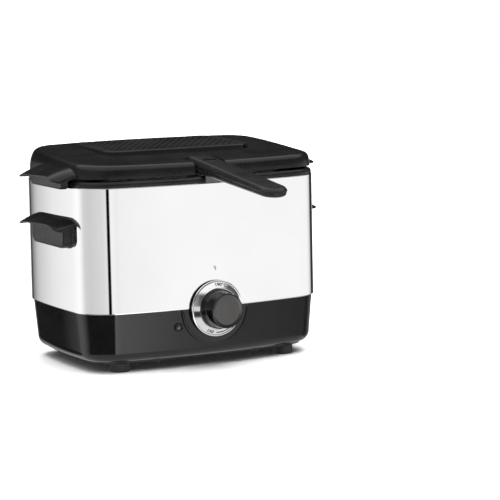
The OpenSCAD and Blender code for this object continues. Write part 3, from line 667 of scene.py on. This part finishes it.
# ---------------------------------------------------------------- grips
def hood(wall_x, wall_z, drop, y_range, thick=2.3):
    """A thin cap that leaves the wall, dips towards its lip and turns down at both ends. Its lip
    lies lower at the end that v counts as +1."""
    across, down = 60, 26
    mid, half = (y_range[0] + y_range[1]) / 2, (y_range[1] - y_range[0]) / 2
    reach = HOOD_OUT - wall_x

    def point(u, v, lift):
        fall = (drop + 1.6 * v) * (0.25 * u + 0.75 * u ** 1.7)
        fall += (6.2 if v < 0 else 2.2) * max(0, (abs(v) - 0.4) / 0.6) ** 3
        start = 0.8 if v < 0 else 0.93
        corner = (1 - max(0, (abs(v) - start) / (1 - start)) ** 2.2) ** (1 / 2.2)
        x = wall_x + reach * u * (0.6 + 0.4 * corner)
        return (-x, mid + half * v, wall_z - fall + lift)

    vs = np.sin(np.linspace(-math.pi / 2, math.pi / 2, across + 1))
    us = 1 - (1 - np.linspace(0, 1, down + 1)) ** 1.5
    top = [point(u, v, 0) for v in vs for u in us]
    low = [point(u, v, -thick * (1 - 0.35 * u)) for v in vs for u in us]
    n, m = across + 1, down + 1
    faces = []
    for i in range(across):
        for j in range(down):
            a, b, c, d = i * m + j, (i + 1) * m + j, (i + 1) * m + j + 1, i * m + j + 1
            faces += [(a, b, c, d), tuple(k + n * m for k in (d, c, b, a))]
    border = list(range(m)) + [i * m + down for i in range(1, n)]
    border += [(n - 1) * m + j for j in range(down - 1, -1, -1)]
    border += [i * m for i in range(n - 2, 0, -1)]
    for a, b in zip(border, border[1:] + border[:1]):
        faces.append((a, b, b + n * m, a + n * m))
    return top + low, faces


def end_outline(y0, y1, z0, z1, low_r, high_r):
    """A rounded outline seen from the body's end: large lower corners, small upper ones."""
    return np.concatenate([
        arc((y0 + low_r, z0 + low_r), low_r, 180, 270, 10),
        arc((y1 - low_r, z0 + low_r), low_r, 270, 360, 10),
        arc((y1 - high_r, z1 - high_r), high_r, 0, 90, 6),
        arc((y0 + high_r, z1 - high_r), high_r, 90, 180, 6),
    ])


def end_box(wall_x, out_x, y0, y1, z0, z1, low_r, high_r, round_r):
    """A box on the body's left end, from the wall outwards, with rounded outer edges."""
    steps = [(wall_x, 0), (wall_x + (out_x - round_r - wall_x) * 0.5, 0), (out_x - round_r, 0)]
    steps += [(out_x - round_r + round_r * math.sin(a), round_r * (1 - math.cos(a)))
              for a in np.linspace(0.3, math.pi / 2, 6)]
    rings = []
    for x, t in steps:
        o = end_outline(y0 + t, y1 - t, z0 + t, z1 - t, max(low_r - t, 0.5), max(high_r - t, 0.3))
        rings.append(np.column_stack([np.full(len(o), -x), o]))
    return rings_to_mesh(rings)


def half_turn(verts, turned):
    v = np.array(verts, float)
    return v * [-1, -1, 1] if turned else v


def grip(kind, parts, turned):
    """A grip on one end from its parts' vertices and faces, and the name of its side."""
    side = "right" if turned else "left"
    pieces = [new_piece(f"{kind}_grip_{side}_{n}", half_turn(v, turned), f) for n, v, f in parts]
    return joined(f"{kind}_grip_{side}", pieces), side


def body_grip(turned):
    """A carrying handle: the hood, the box below it and the thin flange that meets the sheet."""
    parts = [
        ("hood", *hood(130, 154.6, 7.4, BODY_HOOD_Y)),
        ("pocket", *end_box(129, GRIP_OUT, *GRIP_Y, 124, 149, 8, 1.5, 1.6)),
        ("flange", *end_box(129, 134.6, GRIP_Y[0] - 0.8, GRIP_Y[1] + 0.8, 123.2, 149,
                            8.6, 1.5, 0.6)),
    ]
    piece, side = grip("body", parts, turned)
    return dress(piece, f"body_handle_{side}")


def lid_grip(turned):
    """A lifting grip on the lid's end: the hood and the box that hangs below it."""
    parts = [
        ("hood", *hood(124, 203.6, 9.0, LID_HOOD_Y)),
        ("pocket", *end_box(136.2, GRIP_OUT, *GRIP_Y, 182, 197, 6, 1.5, 1.4)),
        ("bridge", *end_box(127, GRIP_OUT - 2, GRIP_Y[0] + 2, GRIP_Y[1] - 2, 192.4, 198, 2, 1.5, 1)),
    ]
    piece, _ = grip("lid", parts, turned)
    return dress(piece, "lid_shell", replaces=False)


# ---------------------------------------------------------------- lid
def lid_plane(y):
    return LID_FRONT_Z + LID_SLOPE * (y + BODY_D / 2 - LID_INSET)


LID_PROFILE = [(LID_INSET, LID_Z + 0.6), (4.2, 196), (4.5, 199), (5.0, 202.5), (6.0, 206),
               (8.2, 211), (11.5, 215.4), (15.5, 219.5), (23, 223), (32, 226)]
LID_ROUND = 12


def lid_outline(inset):
    """The lid's outline: the body's, but its ends bulge out a little further."""
    outline = body_outline(inset, 40, 34, 18)
    outline[:, 0] *= 1 + 0.017 * smooth_step(np.abs(outline[:, 0]), 50, 125)
    return outline


def lid_rings(profile, drop, round_k):
    """Rings of the lid. Its top edge is rounder in front than at the back."""
    rings = []
    for inset, z in profile:
        outline = lid_outline(inset)
        top = lid_plane(outline[:, 1]) - drop
        k = round_k * (1 - 0.6 * smooth_step(outline[:, 1], -50, 50))
        rings.append(np.column_stack([outline, soft_min(np.full(len(outline), z), top, k)]))
    return rings


def cover_outline(grow, corner=10):
    w, d = COVER_HIGH.x - COVER_LOW.x, COVER_HIGH.y - COVER_LOW.y
    centre = ((COVER_LOW.x + COVER_HIGH.x) / 2, (COVER_LOW.y + COVER_HIGH.y) / 2)
    return rounded_rect(w + 2 * grow, d + 2 * grow, 14 + grow, corner, centre)


def sloped_prism(name, outline, depth, high):
    """A prism from a depth below the lid's sloping top up to a level height."""
    floor = np.column_stack([outline, lid_plane(outline[:, 1]) - depth])
    return loft(name, [floor, flat_ring(outline, high)])


def lid_shell():
    """The lid: rounded ends that grow towards the back, a sloping top, the notch for the basket
    handle and the sunk seat of the vent cover."""
    wall, roof = 2.4, 6.2
    outer = lid_rings(spline(LID_PROFILE, 6), 0, LID_ROUND)
    inner_profile = [(i + wall, z - roof) for i, z in LID_PROFILE if z - roof > LID_Z + 3]
    inner = lid_rings(inner_profile[::-1], roof, 1.0)
    rim = [(LID_INSET + wall, LID_Z + 0.4), (LID_INSET + wall - 0.3, LID_Z),
           (LID_INSET + 0.4, LID_Z), (LID_INSET + 0.05, LID_Z + 0.25)]
    rim = [flat_ring(lid_outline(i), z) for i, z in rim]
    verts, faces = rings_to_mesh(inner + rim + outer, caps=True)
    lid = new_piece("lid_cap", verts, faces)
    notch_w, notch_d = NOTCH_X[1] - NOTCH_X[0], 60
    notch_mid = ((NOTCH_X[0] + NOTCH_X[1]) / 2, NOTCH_Y - notch_d / 2)
    cutters = [
        prism("notch", rounded_rect(notch_w, notch_d, 2.5, 6, notch_mid), 180, 230),
        sloped_prism("seat", cover_outline(0.5), 2.5, 230),
        sloped_prism("ledge", cover_outline(-6), 5, 229),
        prism("window", cover_outline(-9), 170, 228),
    ]
    carve(lid, cutters)
    shade(lid.data, 32)
    soften(lid, 0.55, 42)
    return dress(lid, "lid_shell")


def vent_cover():
    """The perforated cover: a plate with staggered holes and a rolled edge, high at its front."""
    low, high = COVER_LOW, COVER_HIGH
    front_rise, back_rise = 4, 0.3
    fall = (front_rise - back_rise) / (high.y - low.y)

    def top(y):
        return lid_plane(low.y) + front_rise + (LID_SLOPE - fall) * (y - low.y)

    def finger():
        """The round bite for a fingertip, at the right front corner."""
        return lathe("finger", [(8, -20), (8, 20)], (high.x - 2, low.y, 214), axis="Z", count=40)

    edge, plate_t = 5.0, 1.6
    rim_profile = [(0, -9), (0, -1.5), (0.12, -0.9), (0.42, -0.42), (0.9, -0.1), (1.6, 0),
                   (edge, 0), (edge, -plate_t), (2.2, -plate_t), (2.2, -9)]
    rings = []
    for inset, below in rim_profile:
        o = resample(cover_outline(-inset), 240)
        bottom = lid_plane(o[:, 1]) - 2.3
        z = np.maximum(top(o[:, 1]) + below, bottom)
        rings.append(np.column_stack([o, z]))
    rim = loft("cover_rim", rings, loop=True)
    carve(rim, [finger()])
    shade(rim.data, 32)
    pitch_x, pitch_y, hole_r = 7.6, 5.6, 1.75
    holes = []
    row, y = 0, low.y + edge + 6
    while y < high.y - edge - 4:
        x = low.x + edge + 7 + (row % 2) * pitch_x / 2
        while x < high.x - edge - 5:
            if math.hypot(x - high.x + 2, y - low.y) > 15:
                holes.append((x, y))
            x += pitch_x
        y += pitch_y
        row += 1
    plate = perforated("cover_plate", cover_outline(-edge + 0.05), holes, hole_r, top, plate_t)
    carve(plate, [finger()])
    shade(plate.data, 32)
    cover = joined("vent_cover", [rim, plate])
    soften(cover, 0.22, 50, 2)
    return dress(cover, "filter_cover")


def perforated(name, outline, holes, radius, top, thick, sides=14):
    """A plate with round holes, made from a filled curve and then laid on the surface top(y)."""
    curve = bpy.data.curves.new(name, "CURVE")
    curve.dimensions = "2D"
    curve.fill_mode = "BOTH"
    curve.extrude = 0.5
    loops = [outline] + [arc(h, radius, 0, 360 - 360 / sides, sides - 1) for h in holes]
    for points in loops:
        s = curve.splines.new("POLY")
        s.points.add(len(points) - 1)
        s.points.foreach_set("co", np.column_stack([points, np.zeros(len(points)),
                                                    np.ones(len(points))]).ravel())
        s.use_cyclic_u = True
    source = curve_mesh(name, curve)
    verts = np.array([v.co for v in source.vertices])
    faces = [tuple(p.vertices) for p in source.polygons]
    verts[:, 2] = np.where(verts[:, 2] > 0, top(verts[:, 1]), top(verts[:, 1]) - thick)
    return new_piece(name, verts, faces)


# ---------------------------------------------------------------- dial
def knob():
    """The knob: flared foot, slightly conical side, and a dished metal face let into its front."""
    foot = KNOB_HIGH.y
    length = foot - KNOB_LOW.y
    base_r = (KNOB_HIGH.x - KNOB_LOW.x) / 2
    front_r, face_r, dish = base_r - 2.7, base_r - 3.7, 2.7
    profile = [(3, 0), (base_r - 1.5, 0), (base_r - 0.3, 0.25), (base_r, 0.9), (base_r - 0.1, 2.2),
               (base_r - 0.8, 3.1), (base_r - 1.3, 3.6)]
    profile += [(base_r - 1.3 + (front_r - base_r + 1.3) * t, 3.6 + (length - 4.9) * t)
                for t in np.linspace(0.1, 1, 8)]
    profile += [(front_r - 0.1, length - 0.75), (front_r - 0.35, length - 0.25),
                (front_r - 0.75, length), (face_r + 0.05, length - 0.02),
                (face_r, length - 0.15), (face_r, length - 0.9), (3, length - dish - 0.9)]
    cap = lathe("dial_knob", profile, (0, foot, DIAL_Z), smooth_angle=50)
    turns = np.linspace(0, math.pi / 2, 20)[:-1]
    face = [(face_r - 0.05, length - 0.85), (face_r - 0.05, length - 0.2)]
    face += [((face_r - 0.2) * math.cos(a), length - 0.12 - dish * (1 - math.cos(a) ** 2))
             for a in turns]
    face += [(0.02, length - 0.12 - dish)]
    disc = lathe("dial_face", face, (0, foot, DIAL_Z), smooth_angle=50)
    disc.data.materials.append(MATERIALS["knob_face"])
    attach(disc, "dial")
    return dress(cap, "knob")


RING_R = DIAL_R - 0.8
RING_LIP = 2.2                      # height of the ring's dark side wall
CONE_OUT = (RING_R - 2.1, 3.5)      # radius and height at the foot of the ring's sloping face
CONE_IN = (21.2, 6.75)
TILT = math.atan2(CONE_IN[1] - CONE_OUT[1], CONE_OUT[0] - CONE_IN[0])


def on_cone(clock, rho, lift):
    """A point above the ring's sloping face, clock being an angle clockwise from the top."""
    share = (CONE_OUT[0] - rho) / (CONE_OUT[0] - CONE_IN[0])
    along = CONE_OUT[1] + (CONE_IN[1] - CONE_OUT[1]) * share + lift / math.cos(TILT)
    return rho * math.sin(clock), DIAL_BACK - along, DIAL_Z + rho * math.cos(clock)


def dial_ring():
    """The bright ring: a dark side wall, a rolled rim with a step, and a face that slopes up to
    the knob's seat."""
    side = [(14, 0), (RING_R - 0.6, 0), (RING_R - 0.25, 0.3), (RING_R - 0.25, RING_LIP),
            (14, RING_LIP)]
    skirt = lathe("dial_skirt", side, (0, DIAL_BACK, DIAL_Z), closed=True, count=160)
    dress(skirt, "knob", replaces=False)
    out_r, out_t = CONE_OUT
    profile = [(14, RING_LIP + 0.02), (RING_R - 0.35, RING_LIP + 0.02),
               (RING_R - 0.02, RING_LIP + 0.25), (RING_R - 0.12, RING_LIP + 0.65),
               (RING_R - 0.6, RING_LIP + 1.1),
               (RING_R - 1.2, RING_LIP + 1.3), (RING_R - 1.6, RING_LIP + 1.22),
               (RING_R - 1.8, RING_LIP + 1.05), (out_r, out_t), CONE_IN, (20.95, 6.87), (20.7, 6.85),
               (20.45, 6.6), (20.35, 6.3), (14, 6.3)]
    piece = lathe("dial_bezel", profile, (0, DIAL_BACK, DIAL_Z), closed=True, count=160,
                  smooth_angle=24)
    return dress(piece, "dial_ring")


INK = printed("scale_ink", (0.02, 0.02, 0.022))
SCALE_R = 23.9
INK_THICK = 0.07


def scale_number(name, words, clock_deg, size, upright):
    """A figure bent onto the ring. upright has its head outwards, for the upper half."""
    text = bpy.data.curves.new(name, "FONT")
    text.body = words
    text.size = size * MM
    text.align_x = "CENTER"
    text.align_y = "CENTER"
    text.extrude = INK_THICK / 2 * MM
    text.offset = 0.2 * MM
    text.space_character = 1.06
    mesh = curve_mesh(name, text)
    flip = 1 if upright else -1
    for v in mesh.vertices:
        u, w, lift = (c / MM for c in v.co)
        clock = math.radians(clock_deg) + flip * u / SCALE_R
        place = on_cone(clock, SCALE_R + flip * w * math.cos(TILT), lift + INK_THICK / 2 - 0.02)
        v.co = Vector(place) * MM + Vector((0, CENTRE_Y, 0))
    obj = add_object(name, mesh)
    mesh.materials.clear()
    mesh.materials.append(INK)
    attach(obj, "dial")


def scale_line():
    """The thin arc that runs clockwise from the hottest setting to the lowest."""
    start, end, width = 26, 186, 0.3
    angles = np.radians(np.linspace(start, end, 90))
    verts = []
    for a in angles:
        swell = width * (1 + 0.9 * smooth_step(np.degrees(a), start, end))
        for rho, lift in ((SCALE_R - swell, -0.02), (SCALE_R + swell, -0.02),
                          (SCALE_R + swell, INK_THICK), (SCALE_R - swell, INK_THICK)):
            verts.append(on_cone(a, rho, lift))
    n = len(angles)
    faces = [(4 * i + k, 4 * i + (k + 1) % 4, 4 * i + 4 + (k + 1) % 4, 4 * i + 4 + k)
             for i in range(n - 1) for k in range(4)]
    faces += [(3, 2, 1, 0), tuple(4 * n - 4 + k for k in range(4))]
    obj = new_piece("scale_line", verts, faces)
    obj.data.materials.append(INK)
    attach(obj, "dial")


def index_mark():
    """The fine double stroke etched in the sheet above the dial."""
    strokes = []
    for x, z0, z1 in ((-0.75, 98.2, 101.8), (0.75, 96.6, 101.0)):
        rings = []
        for out, t in ((0.6, 0), (-0.06, 0), (-0.12, 0.12)):
            o = rounded_rect(0.8 - 2 * t, z1 - z0 - 2 * t, 0.36 - t, 5)
            rings.append(np.column_stack([o[:, 0] + x, np.full(len(o), out - BODY_D / 2),
                                          o[:, 1] + (z0 + z1) / 2]))
        strokes.append(rings_to_mesh(rings))
    obj = combined("index_mark", strokes)
    obj.data.materials.append(MATERIALS["etched_grey"])
    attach(obj, "body")


def pilot_light():
    """The pilot light: a thick glossy bezel with a domed smoky lens that isn't lit."""
    low, high = box_mm("pilot_lens")
    centre = ((low.x + high.x) / 2, high.y, (low.z + high.z) / 2)
    t = high.y - low.y
    bezel = [(2.5, t - 3), (2.5, t - 0.9), (2.65, t - 0.45), (3.0, t - 0.1), (3.5, t), (4.0, t - 0.2),
             (4.35, t - 0.6), (4.5, t - 1.3), (4.5, t - 3)]
    ring = lathe("pilot_bezel", bezel, centre, count=64, closed=True, smooth_angle=60)
    ring.data.materials.append(MATERIALS["base_black"])
    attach(ring, "body")
    dome = [(2.48, 0), (2.48, t - 1.5)]
    dome += [(2.48 * math.cos(a), t - 1.5 + 1.1 * math.sin(a)) for a in np.linspace(0.15, 1.5, 9)]
    return dress(lathe("pilot_dome", dome, centre, count=48, smooth_angle=60), "pilot_lens")


# ---------------------------------------------------------------- basket handle
def handle_top(y):
    return 204 + 0.123 * (y + 110)


def handle_low(y):
    return 190.8 + 0.087 * (y + 110)


def handle_outline():
    """The handle from above: straight sides and a round end."""
    r, back = HANDLE_R, PIN_Y + 12
    points = np.concatenate([arc((0, HANDLE_END), r, 180, 360, 30), [[r, back], [-r, back]]])
    return fill_gaps(points, 6)


def handle_half(name, levels):
    """A closed body through (share of the height, inset) levels between underside and top."""
    o = handle_outline()
    low, top = handle_low(o[:, 1]), handle_top(o[:, 1])
    return loft(name, [np.column_stack([handle_inset(o, inset), low + (top - low) * share])
                       for share, inset in levels])


def handle_inset(outline, inset):
    """The handle's outline moved inwards, point for point."""
    r = HANDLE_R
    out = outline.copy()
    tip = out[:, 1] < HANDLE_END
    centre = np.array([0, HANDLE_END])
    out[tip] = centre + (out[tip] - centre) * (r - inset) / r
    out[~tip, 0] *= (r - inset) / r
    return out


def root_cutters():
    """What is cut away at the handle's root: the space round the pin, the bracket and button."""
    far = 60
    pin_ring = arc((PIN_Y, PIN_Z), 7.4, -90, 0, 16)
    corner = [[PIN_Y + 7.4, PIN_Z + 30], [PIN_Y + far, PIN_Z + 30], [PIN_Y + far, PIN_Z - far],
              [PIN_Y, PIN_Z - far]]
    o = np.concatenate([pin_ring, corner])
    rings = [np.column_stack([np.full(len(o), x), o]) for x in (-40, 40)]
    start = -109
    return [
        loft("root_end", rings),
        block("root_under", (-40, start, 150), (40, 0, 191.9)),
        block("root_bay", (-10.6, start, 150), (10.6, -100.1, 195.99)),
        block("root_slot", (-10.6, -87.5, 150), (10.6, 0, PIN_Z)),
        block("root_head", (-10.6, PIN_Y, 150), (10.6, 0, PIN_Z + 5.6)),
        prism("button_well", rounded_rect(13.6, 13.1, 1.6, 6, (0, -93.75)), 199, 230),
    ]


def basket_handle():
    """The upper and the lower moulding of the handle, with a fine parting line between them."""
    upper_levels = [(0.505, 1.2), (0.505, 0.25), (0.53, 0.05), (0.6, 0.0), (0.66, 0.12), (0.72, 0.5),
                    (0.80, 1.1), (0.88, 1.75), (0.93, 2.3), (0.965, 3.0), (0.99, 4.0), (1.0, 5.4)]
    lower_levels = [(0.0, 4.4), (0.01, 3.4), (0.035, 2.6), (0.08, 1.9), (0.14, 1.4), (0.22, 1.0),
                    (0.31, 0.75), (0.4, 0.62), (0.46, 0.6), (0.495, 0.75), (0.495, 1.6)]
    upper = handle_half("handle_cover", upper_levels)
    lower = handle_half("handle_tray", lower_levels)
    root = handle_half("handle_root", lower_levels[:-1] + [(0.51, 0.75), (0.53, 1.4)])
    carve(root, [block("root_front", (-40, -300, 150), (40, -109, 260))])
    carve(lower, [block("tray_back", (-40, -109.3, 150), (40, 0, 260))])
    carve(upper, [root], "UNION")
    carve(upper, root_cutters())
    for piece, node in ((upper, "handle_upper"), (lower, "handle_lower")):
        shade(piece.data, 32)
        soften(piece, 0.3, 48, 2)
        dress(piece, node)
        piece.visible_glossy = False


# ---------------------------------------------------------------- basket
def tube(path, radius, closed=False, sides=8):
    """A round wire along a path in millimetres."""
    p = np.array(path, float)
    ahead = np.roll(p, -1, axis=0) - p
    behind = p - np.roll(p, 1, axis=0)
    if not closed:
        ahead[-1] = behind[-1]
        behind[0] = ahead[0]
    tangent = ahead / np.linalg.norm(ahead, axis=1)[:, None]
    tangent = tangent + behind / np.linalg.norm(behind, axis=1)[:, None]
    tangent /= np.linalg.norm(tangent, axis=1)[:, None]
    normal = np.cross(tangent[0], [0.31, 0.17, 0.93])
    rings = []
    for i, t in enumerate(tangent):
        normal = normal - t * np.dot(normal, t)
        normal = normal / np.linalg.norm(normal)
        side = np.cross(t, normal)
        a = np.linspace(0, 2 * math.pi, sides, endpoint=False)[:, None]
        rings.append(p[i] + radius * (np.cos(a) * normal + np.sin(a) * side))
    return rings_to_mesh(rings, loop=closed, caps=not closed)


def combined(name, meshes, smooth_angle=60):
    """One piece from many vertex and face lists."""
    verts, faces, base = [], [], 0
    for v, f in meshes:
        verts.append(np.array(v))
        faces += [tuple(i + base for i in face) for face in f]
        base += len(v)
    return new_piece(name, np.concatenate(verts), faces, smooth_angle)


def tub_half(z, along_x, at):
    """Half the tub's inner width at height z, along one axis, at a place on the other."""
    share = (z - TUB_LOW.z) / (TUB_HIGH.z - TUB_LOW.z)
    w = (TUB_HIGH.x - TUB_LOW.x) / 2 - TUB_TAPER * (1 - share) - 0.8
    d = (TUB_HIGH.y - TUB_LOW.y) / 2 - TUB_TAPER * (1 - share) - 0.8
    r = TUB_R - TUB_R_TAPER * (1 - share) - 0.8
    if not along_x:
        w, d = d, w
    over = max(0, abs(at) - (d - r))
    return w - r + math.sqrt(max(r * r - over * over, 0))


def hoop(at, along_x, wire_r):
    """A wire that comes down one wall, crosses the floor and goes up the other wall."""
    floor = TUB_LOW.z + wire_r + (0 if along_x else 2 * wire_r)
    bend = 7
    top = RIM_HIGH.z - 1.5
    half = tub_half(floor, along_x, at)
    side = []
    for z in np.linspace(top, floor + bend, 10):
        side.append((tub_half(z, along_x, at) - (0 if along_x else 2 * wire_r), z))
    for a in np.linspace(0, math.pi / 2, 7)[1:]:
        side.append((half - bend + bend * math.cos(a), floor + bend - bend * math.sin(a)))
    across = side + [(-u, z) for u, z in side[::-1]]
    if along_x:
        return [(u, at, z) for u, z in across]
    return [(at, u, z) for u, z in across]


def wire_basket():
    """The wires of the walls and the floor: hoops both ways, and rings round the walls."""
    wire_r, pitch = 0.55, 6.2
    wires = []
    depth = (TUB_HIGH.y - TUB_LOW.y) / 2 - 12
    width = (TUB_HIGH.x - TUB_LOW.x) / 2 - 12
    for reach, along_x in ((depth, True), (width, False)):
        for at in np.arange(-reach, reach + 0.1, 2 * reach / round(2 * reach / pitch)):
            wires.append(tube(hoop(at, along_x, wire_r), wire_r, sides=6))
    for z in np.arange(TUB_LOW.z + 9, RIM_LOW.z - 1, pitch):
        share = (z - TUB_LOW.z) / (TUB_HIGH.z - TUB_LOW.z)
        w = TUB_HIGH.x - TUB_LOW.x - 2 * TUB_TAPER * (1 - share) - 1.2
        d = TUB_HIGH.y - TUB_LOW.y - 2 * TUB_TAPER * (1 - share) - 1.2
        o = rounded_rect(w, d, TUB_R - TUB_R_TAPER * (1 - share) - 0.6, 18, sides=6)
        wires.append(tube(flat_ring(o, z), wire_r, closed=True, sides=6))
    return dress(combined("basket_wires", wires), "basket_tub")


def basket_rim():
    """The heavy wire round the basket's top."""
    w, d = RIM_HIGH.x - RIM_LOW.x, RIM_HIGH.y - RIM_LOW.y
    r = (RIM_HIGH.z - RIM_LOW.z) / 2
    o = rounded_rect(w - 2 * r, d - 2 * r, 45, 28, sides=5)
    path = flat_ring(o, (RIM_HIGH.z + RIM_LOW.z) / 2)
    rim = combined("basket_rim_wire", [tube(path, r, closed=True, sides=18)])
    return dress(rim, "basket_rim")


# ---------------------------------------------------------------- studio
def camera():
    """The photographer's view: a long lens, a little to the left and just above the lid."""
    back = Vector((-0.463539, -0.876636, 0.129137))
    roll = math.radians(-1.07)
    forward = -back
    right = forward.cross(Vector((0, 0, 1))).normalized()
    up = right.cross(forward)
    x_axis = right * math.cos(roll) + up * math.sin(roll)
    y_axis = up * math.cos(roll) - right * math.sin(roll)
    aim = Vector((0, 0, 100))
    distance, shift_right, shift_up = 2146, 80.9, 4.9
    place = aim + back * distance + right * shift_right + up * shift_up
    data = bpy.data.cameras.new("camera")
    data.lens = 149.68
    data.sensor_width = 36
    data.dof.use_dof = False
    obj = add_object("camera", data)
    turn = Matrix((x_axis, y_axis, back)).transposed().to_4x4()
    spot = place * MM + Vector((0, CENTRE_Y, 0))
    obj.matrix_world = Matrix.Translation(spot) @ turn
    bpy.context.scene.camera = obj


def soft_light(name, kind, power, **fields):
    """A light that isn't seen in reflections."""
    data = bpy.data.lights.new(name, kind)
    data.energy = power
    for key, value in fields.items():
        setattr(data, key, value)
    obj = add_object(name, data)
    obj.visible_glossy = False
    return obj


# Brightness of the studio round the object, as (azimuth, brightness) stops. Azimuth 0 is in front
# of the fryer and 90 at its left. The low tones lie below the table's edge and the level tones
# along it. Two soft boxes stand in front with a gap between them, and a third at the back left.
LOW_TONES = [(-180, 0.5), (-130, 0.5), (-100, 0.1), (-90, 0.08), (-73, 0.32), (-50, 0.42),
             (-32, 0.7), (-20, 1.05), (-8, 1.7), (9, 2.25), (13, 0.03), (97, 0.04), (115, 0.9),
             (126, 1.1), (145, 0.7), (150, 0.3), (156, 0.03), (170, 0.03), (175, 0.5), (180, 0.5)]
LEVEL_TONES = [(-180, 0.7), (-140, 0.7), (-128, 0.03), (-110, 0.03), (-103, 0.7), (-88, 1.0),
               (-17, 1.03), (0, 0.92), (18.5, 1.0), (20.5, 0.0), (27.5, 0.0), (29.5, 0.85),
               (42, 0.76), (81, 0.67), (98, 0.71), (112, 1.0), (121, 1.1), (147, 1.0), (156, 0.88),
               (164, 0.6), (168, 0.03), (176, 0.03), (180, 0.7)]
HIGH_TONES = [(-180, 0.02), (-110, 0.02), (-80, 0.15), (-40, 0.12), (0, 0.12), (14, 0.1),
              (30, 0.1), (45, 0.35), (100, 0.35), (140, 0.2), (165, 0.02), (180, 0.02)]


def tone_ramp(nodes, azimuth, tones):
    """Brightness by azimuth, from up to 32 stops."""
    ramp = nodes.new("ShaderNodeValToRGB").color_ramp
    node = nodes[-1]
    stops = ramp.elements
    while len(stops) < len(tones):
        stops.new(0.5)
    for stop, (angle, tone) in zip(stops, tones):
        stop.position = angle / 360 + 0.5
    for stop, (angle, tone) in zip(stops, tones):
        stop.color = (tone, tone, tone, 1)
    return node


def surround():
    """White to the eye, and a studio of soft boxes and dark gaps to every surface."""
    world = bpy.data.worlds.new("studio")
    bpy.context.scene.world = world
    world.use_nodes = True
    tree = world.node_tree
    nodes, link = tree.nodes, tree.links.new

    def maths(operation, *values):
        node = nodes.new("ShaderNodeMath")
        node.operation = operation
        for socket, value in zip(node.inputs, values):
            if isinstance(value, bpy.types.NodeSocket):
                link(value, socket)
            else:
                socket.default_value = value
        return node.outputs[0]

    def blend(value, low, high, a, b):
        step = nodes.new("ShaderNodeMapRange")
        step.interpolation_type = "SMOOTHSTEP"
        step.inputs["From Min"].default_value = low
        step.inputs["From Max"].default_value = high
        link(value, step.inputs["Value"])
        mix = nodes.new("ShaderNodeMix")
        mix.data_type = "RGBA"
        link(step.outputs[0], mix.inputs[0])
        link(a, mix.inputs[6])
        link(b, mix.inputs[7])
        return mix.outputs[2]

    split = nodes.new("ShaderNodeSeparateXYZ")
    link(nodes.new("ShaderNodeTexCoord").outputs["Generated"], split.inputs[0])
    angle = maths("ARCTAN2", maths("MULTIPLY", split.outputs["X"], -1.0),
                  maths("MULTIPLY", split.outputs["Y"], -1.0))
    turn = maths("ADD", maths("DIVIDE", angle, 2 * math.pi), 0.5)
    bands = []
    for tones in (LOW_TONES, LEVEL_TONES, HIGH_TONES):
        node = tone_ramp(nodes, turn, tones)
        link(turn, node.inputs[0])
        bands.append(node.outputs[0])
    height = split.outputs["Z"]
    under, top = (nodes.new("ShaderNodeRGB").outputs[0] for _ in range(2))
    under.default_value = (0.8, 0.8, 0.8, 1)
    top.default_value = (1.1, 1.1, 1.1, 1)
    low = blend(height, -0.52, -0.42, under, bands[0])
    low_level = blend(height, -0.200, -0.178, low, bands[1])
    level_high = blend(height, -0.03, 0.08, low_level, bands[2])
    tones = blend(height, 0.5, 0.68, level_high, top)
    lit = nodes["Background"]
    link(tones, lit.inputs["Color"])
    white = nodes.new("ShaderNodeBackground")
    white.inputs["Color"].default_value = (1, 1, 1, 1)
    pick = nodes.new("ShaderNodeMixShader")
    link(nodes.new("ShaderNodeLightPath").outputs["Is Camera Ray"], pick.inputs[0])
    link(lit.outputs[0], pick.inputs[1])
    link(white.outputs[0], pick.inputs[2])
    link(pick.outputs[0], nodes["World Output"].inputs["Surface"])


def studio():
    """A pale floor, the surround and soft lights."""
    bpy.context.scene.view_settings.view_transform = "Standard"
    surround()
    mesh = bpy.data.meshes.new("floor")
    side = 6
    mesh.from_pydata([(-side, -side, 0), (side, -side, 0), (side, side, 0), (-side, side, 0)], [],
                     [(0, 1, 2, 3)])
    floor = add_object("floor", mesh)
    n = Nodes("pale_floor", Specular_IOR_Level=0.0)
    speck = n.noise(9, 3)
    tint = n.mix(n.between(speck, 0, 1), (0.95, 0.95, 0.95), (0.93, 0.93, 0.93))
    floor.data.materials.append(n.set(Base_Color=tint, Roughness=n.between(speck, 0.5, 0.6)))
    floor.visible_glossy = False
    sky = soft_light("sky", "SUN", 4.6, angle=math.radians(70))
    sky.rotation_euler = (math.radians(-8), math.radians(10), 0)
    key = soft_light("key", "AREA", 12, size=1.2)
    place, aim = Vector((-0.9, -1.3, 2.0)), Vector((0, 0, 0.1))
    key.location = place
    key.rotation_euler = (aim - place).to_track_quat("-Z", "Y").to_euler()


camera()
studio()
dress_cad_nodes()
steel_shell()
base_housing()
dial_boss()
collar()
for turned in (False, True):
    body_grip(turned)
    lid_grip(turned)
lid_shell()
vent_cover()
knob()
dial_ring()
scale_number("scale_hottest", "190°C", 8, 4.9, True)
scale_number("scale_lowest", "150", 203, 4.9, False)
scale_line()
index_mark()
pilot_light()
basket_handle()
wire_basket()
basket_rim()
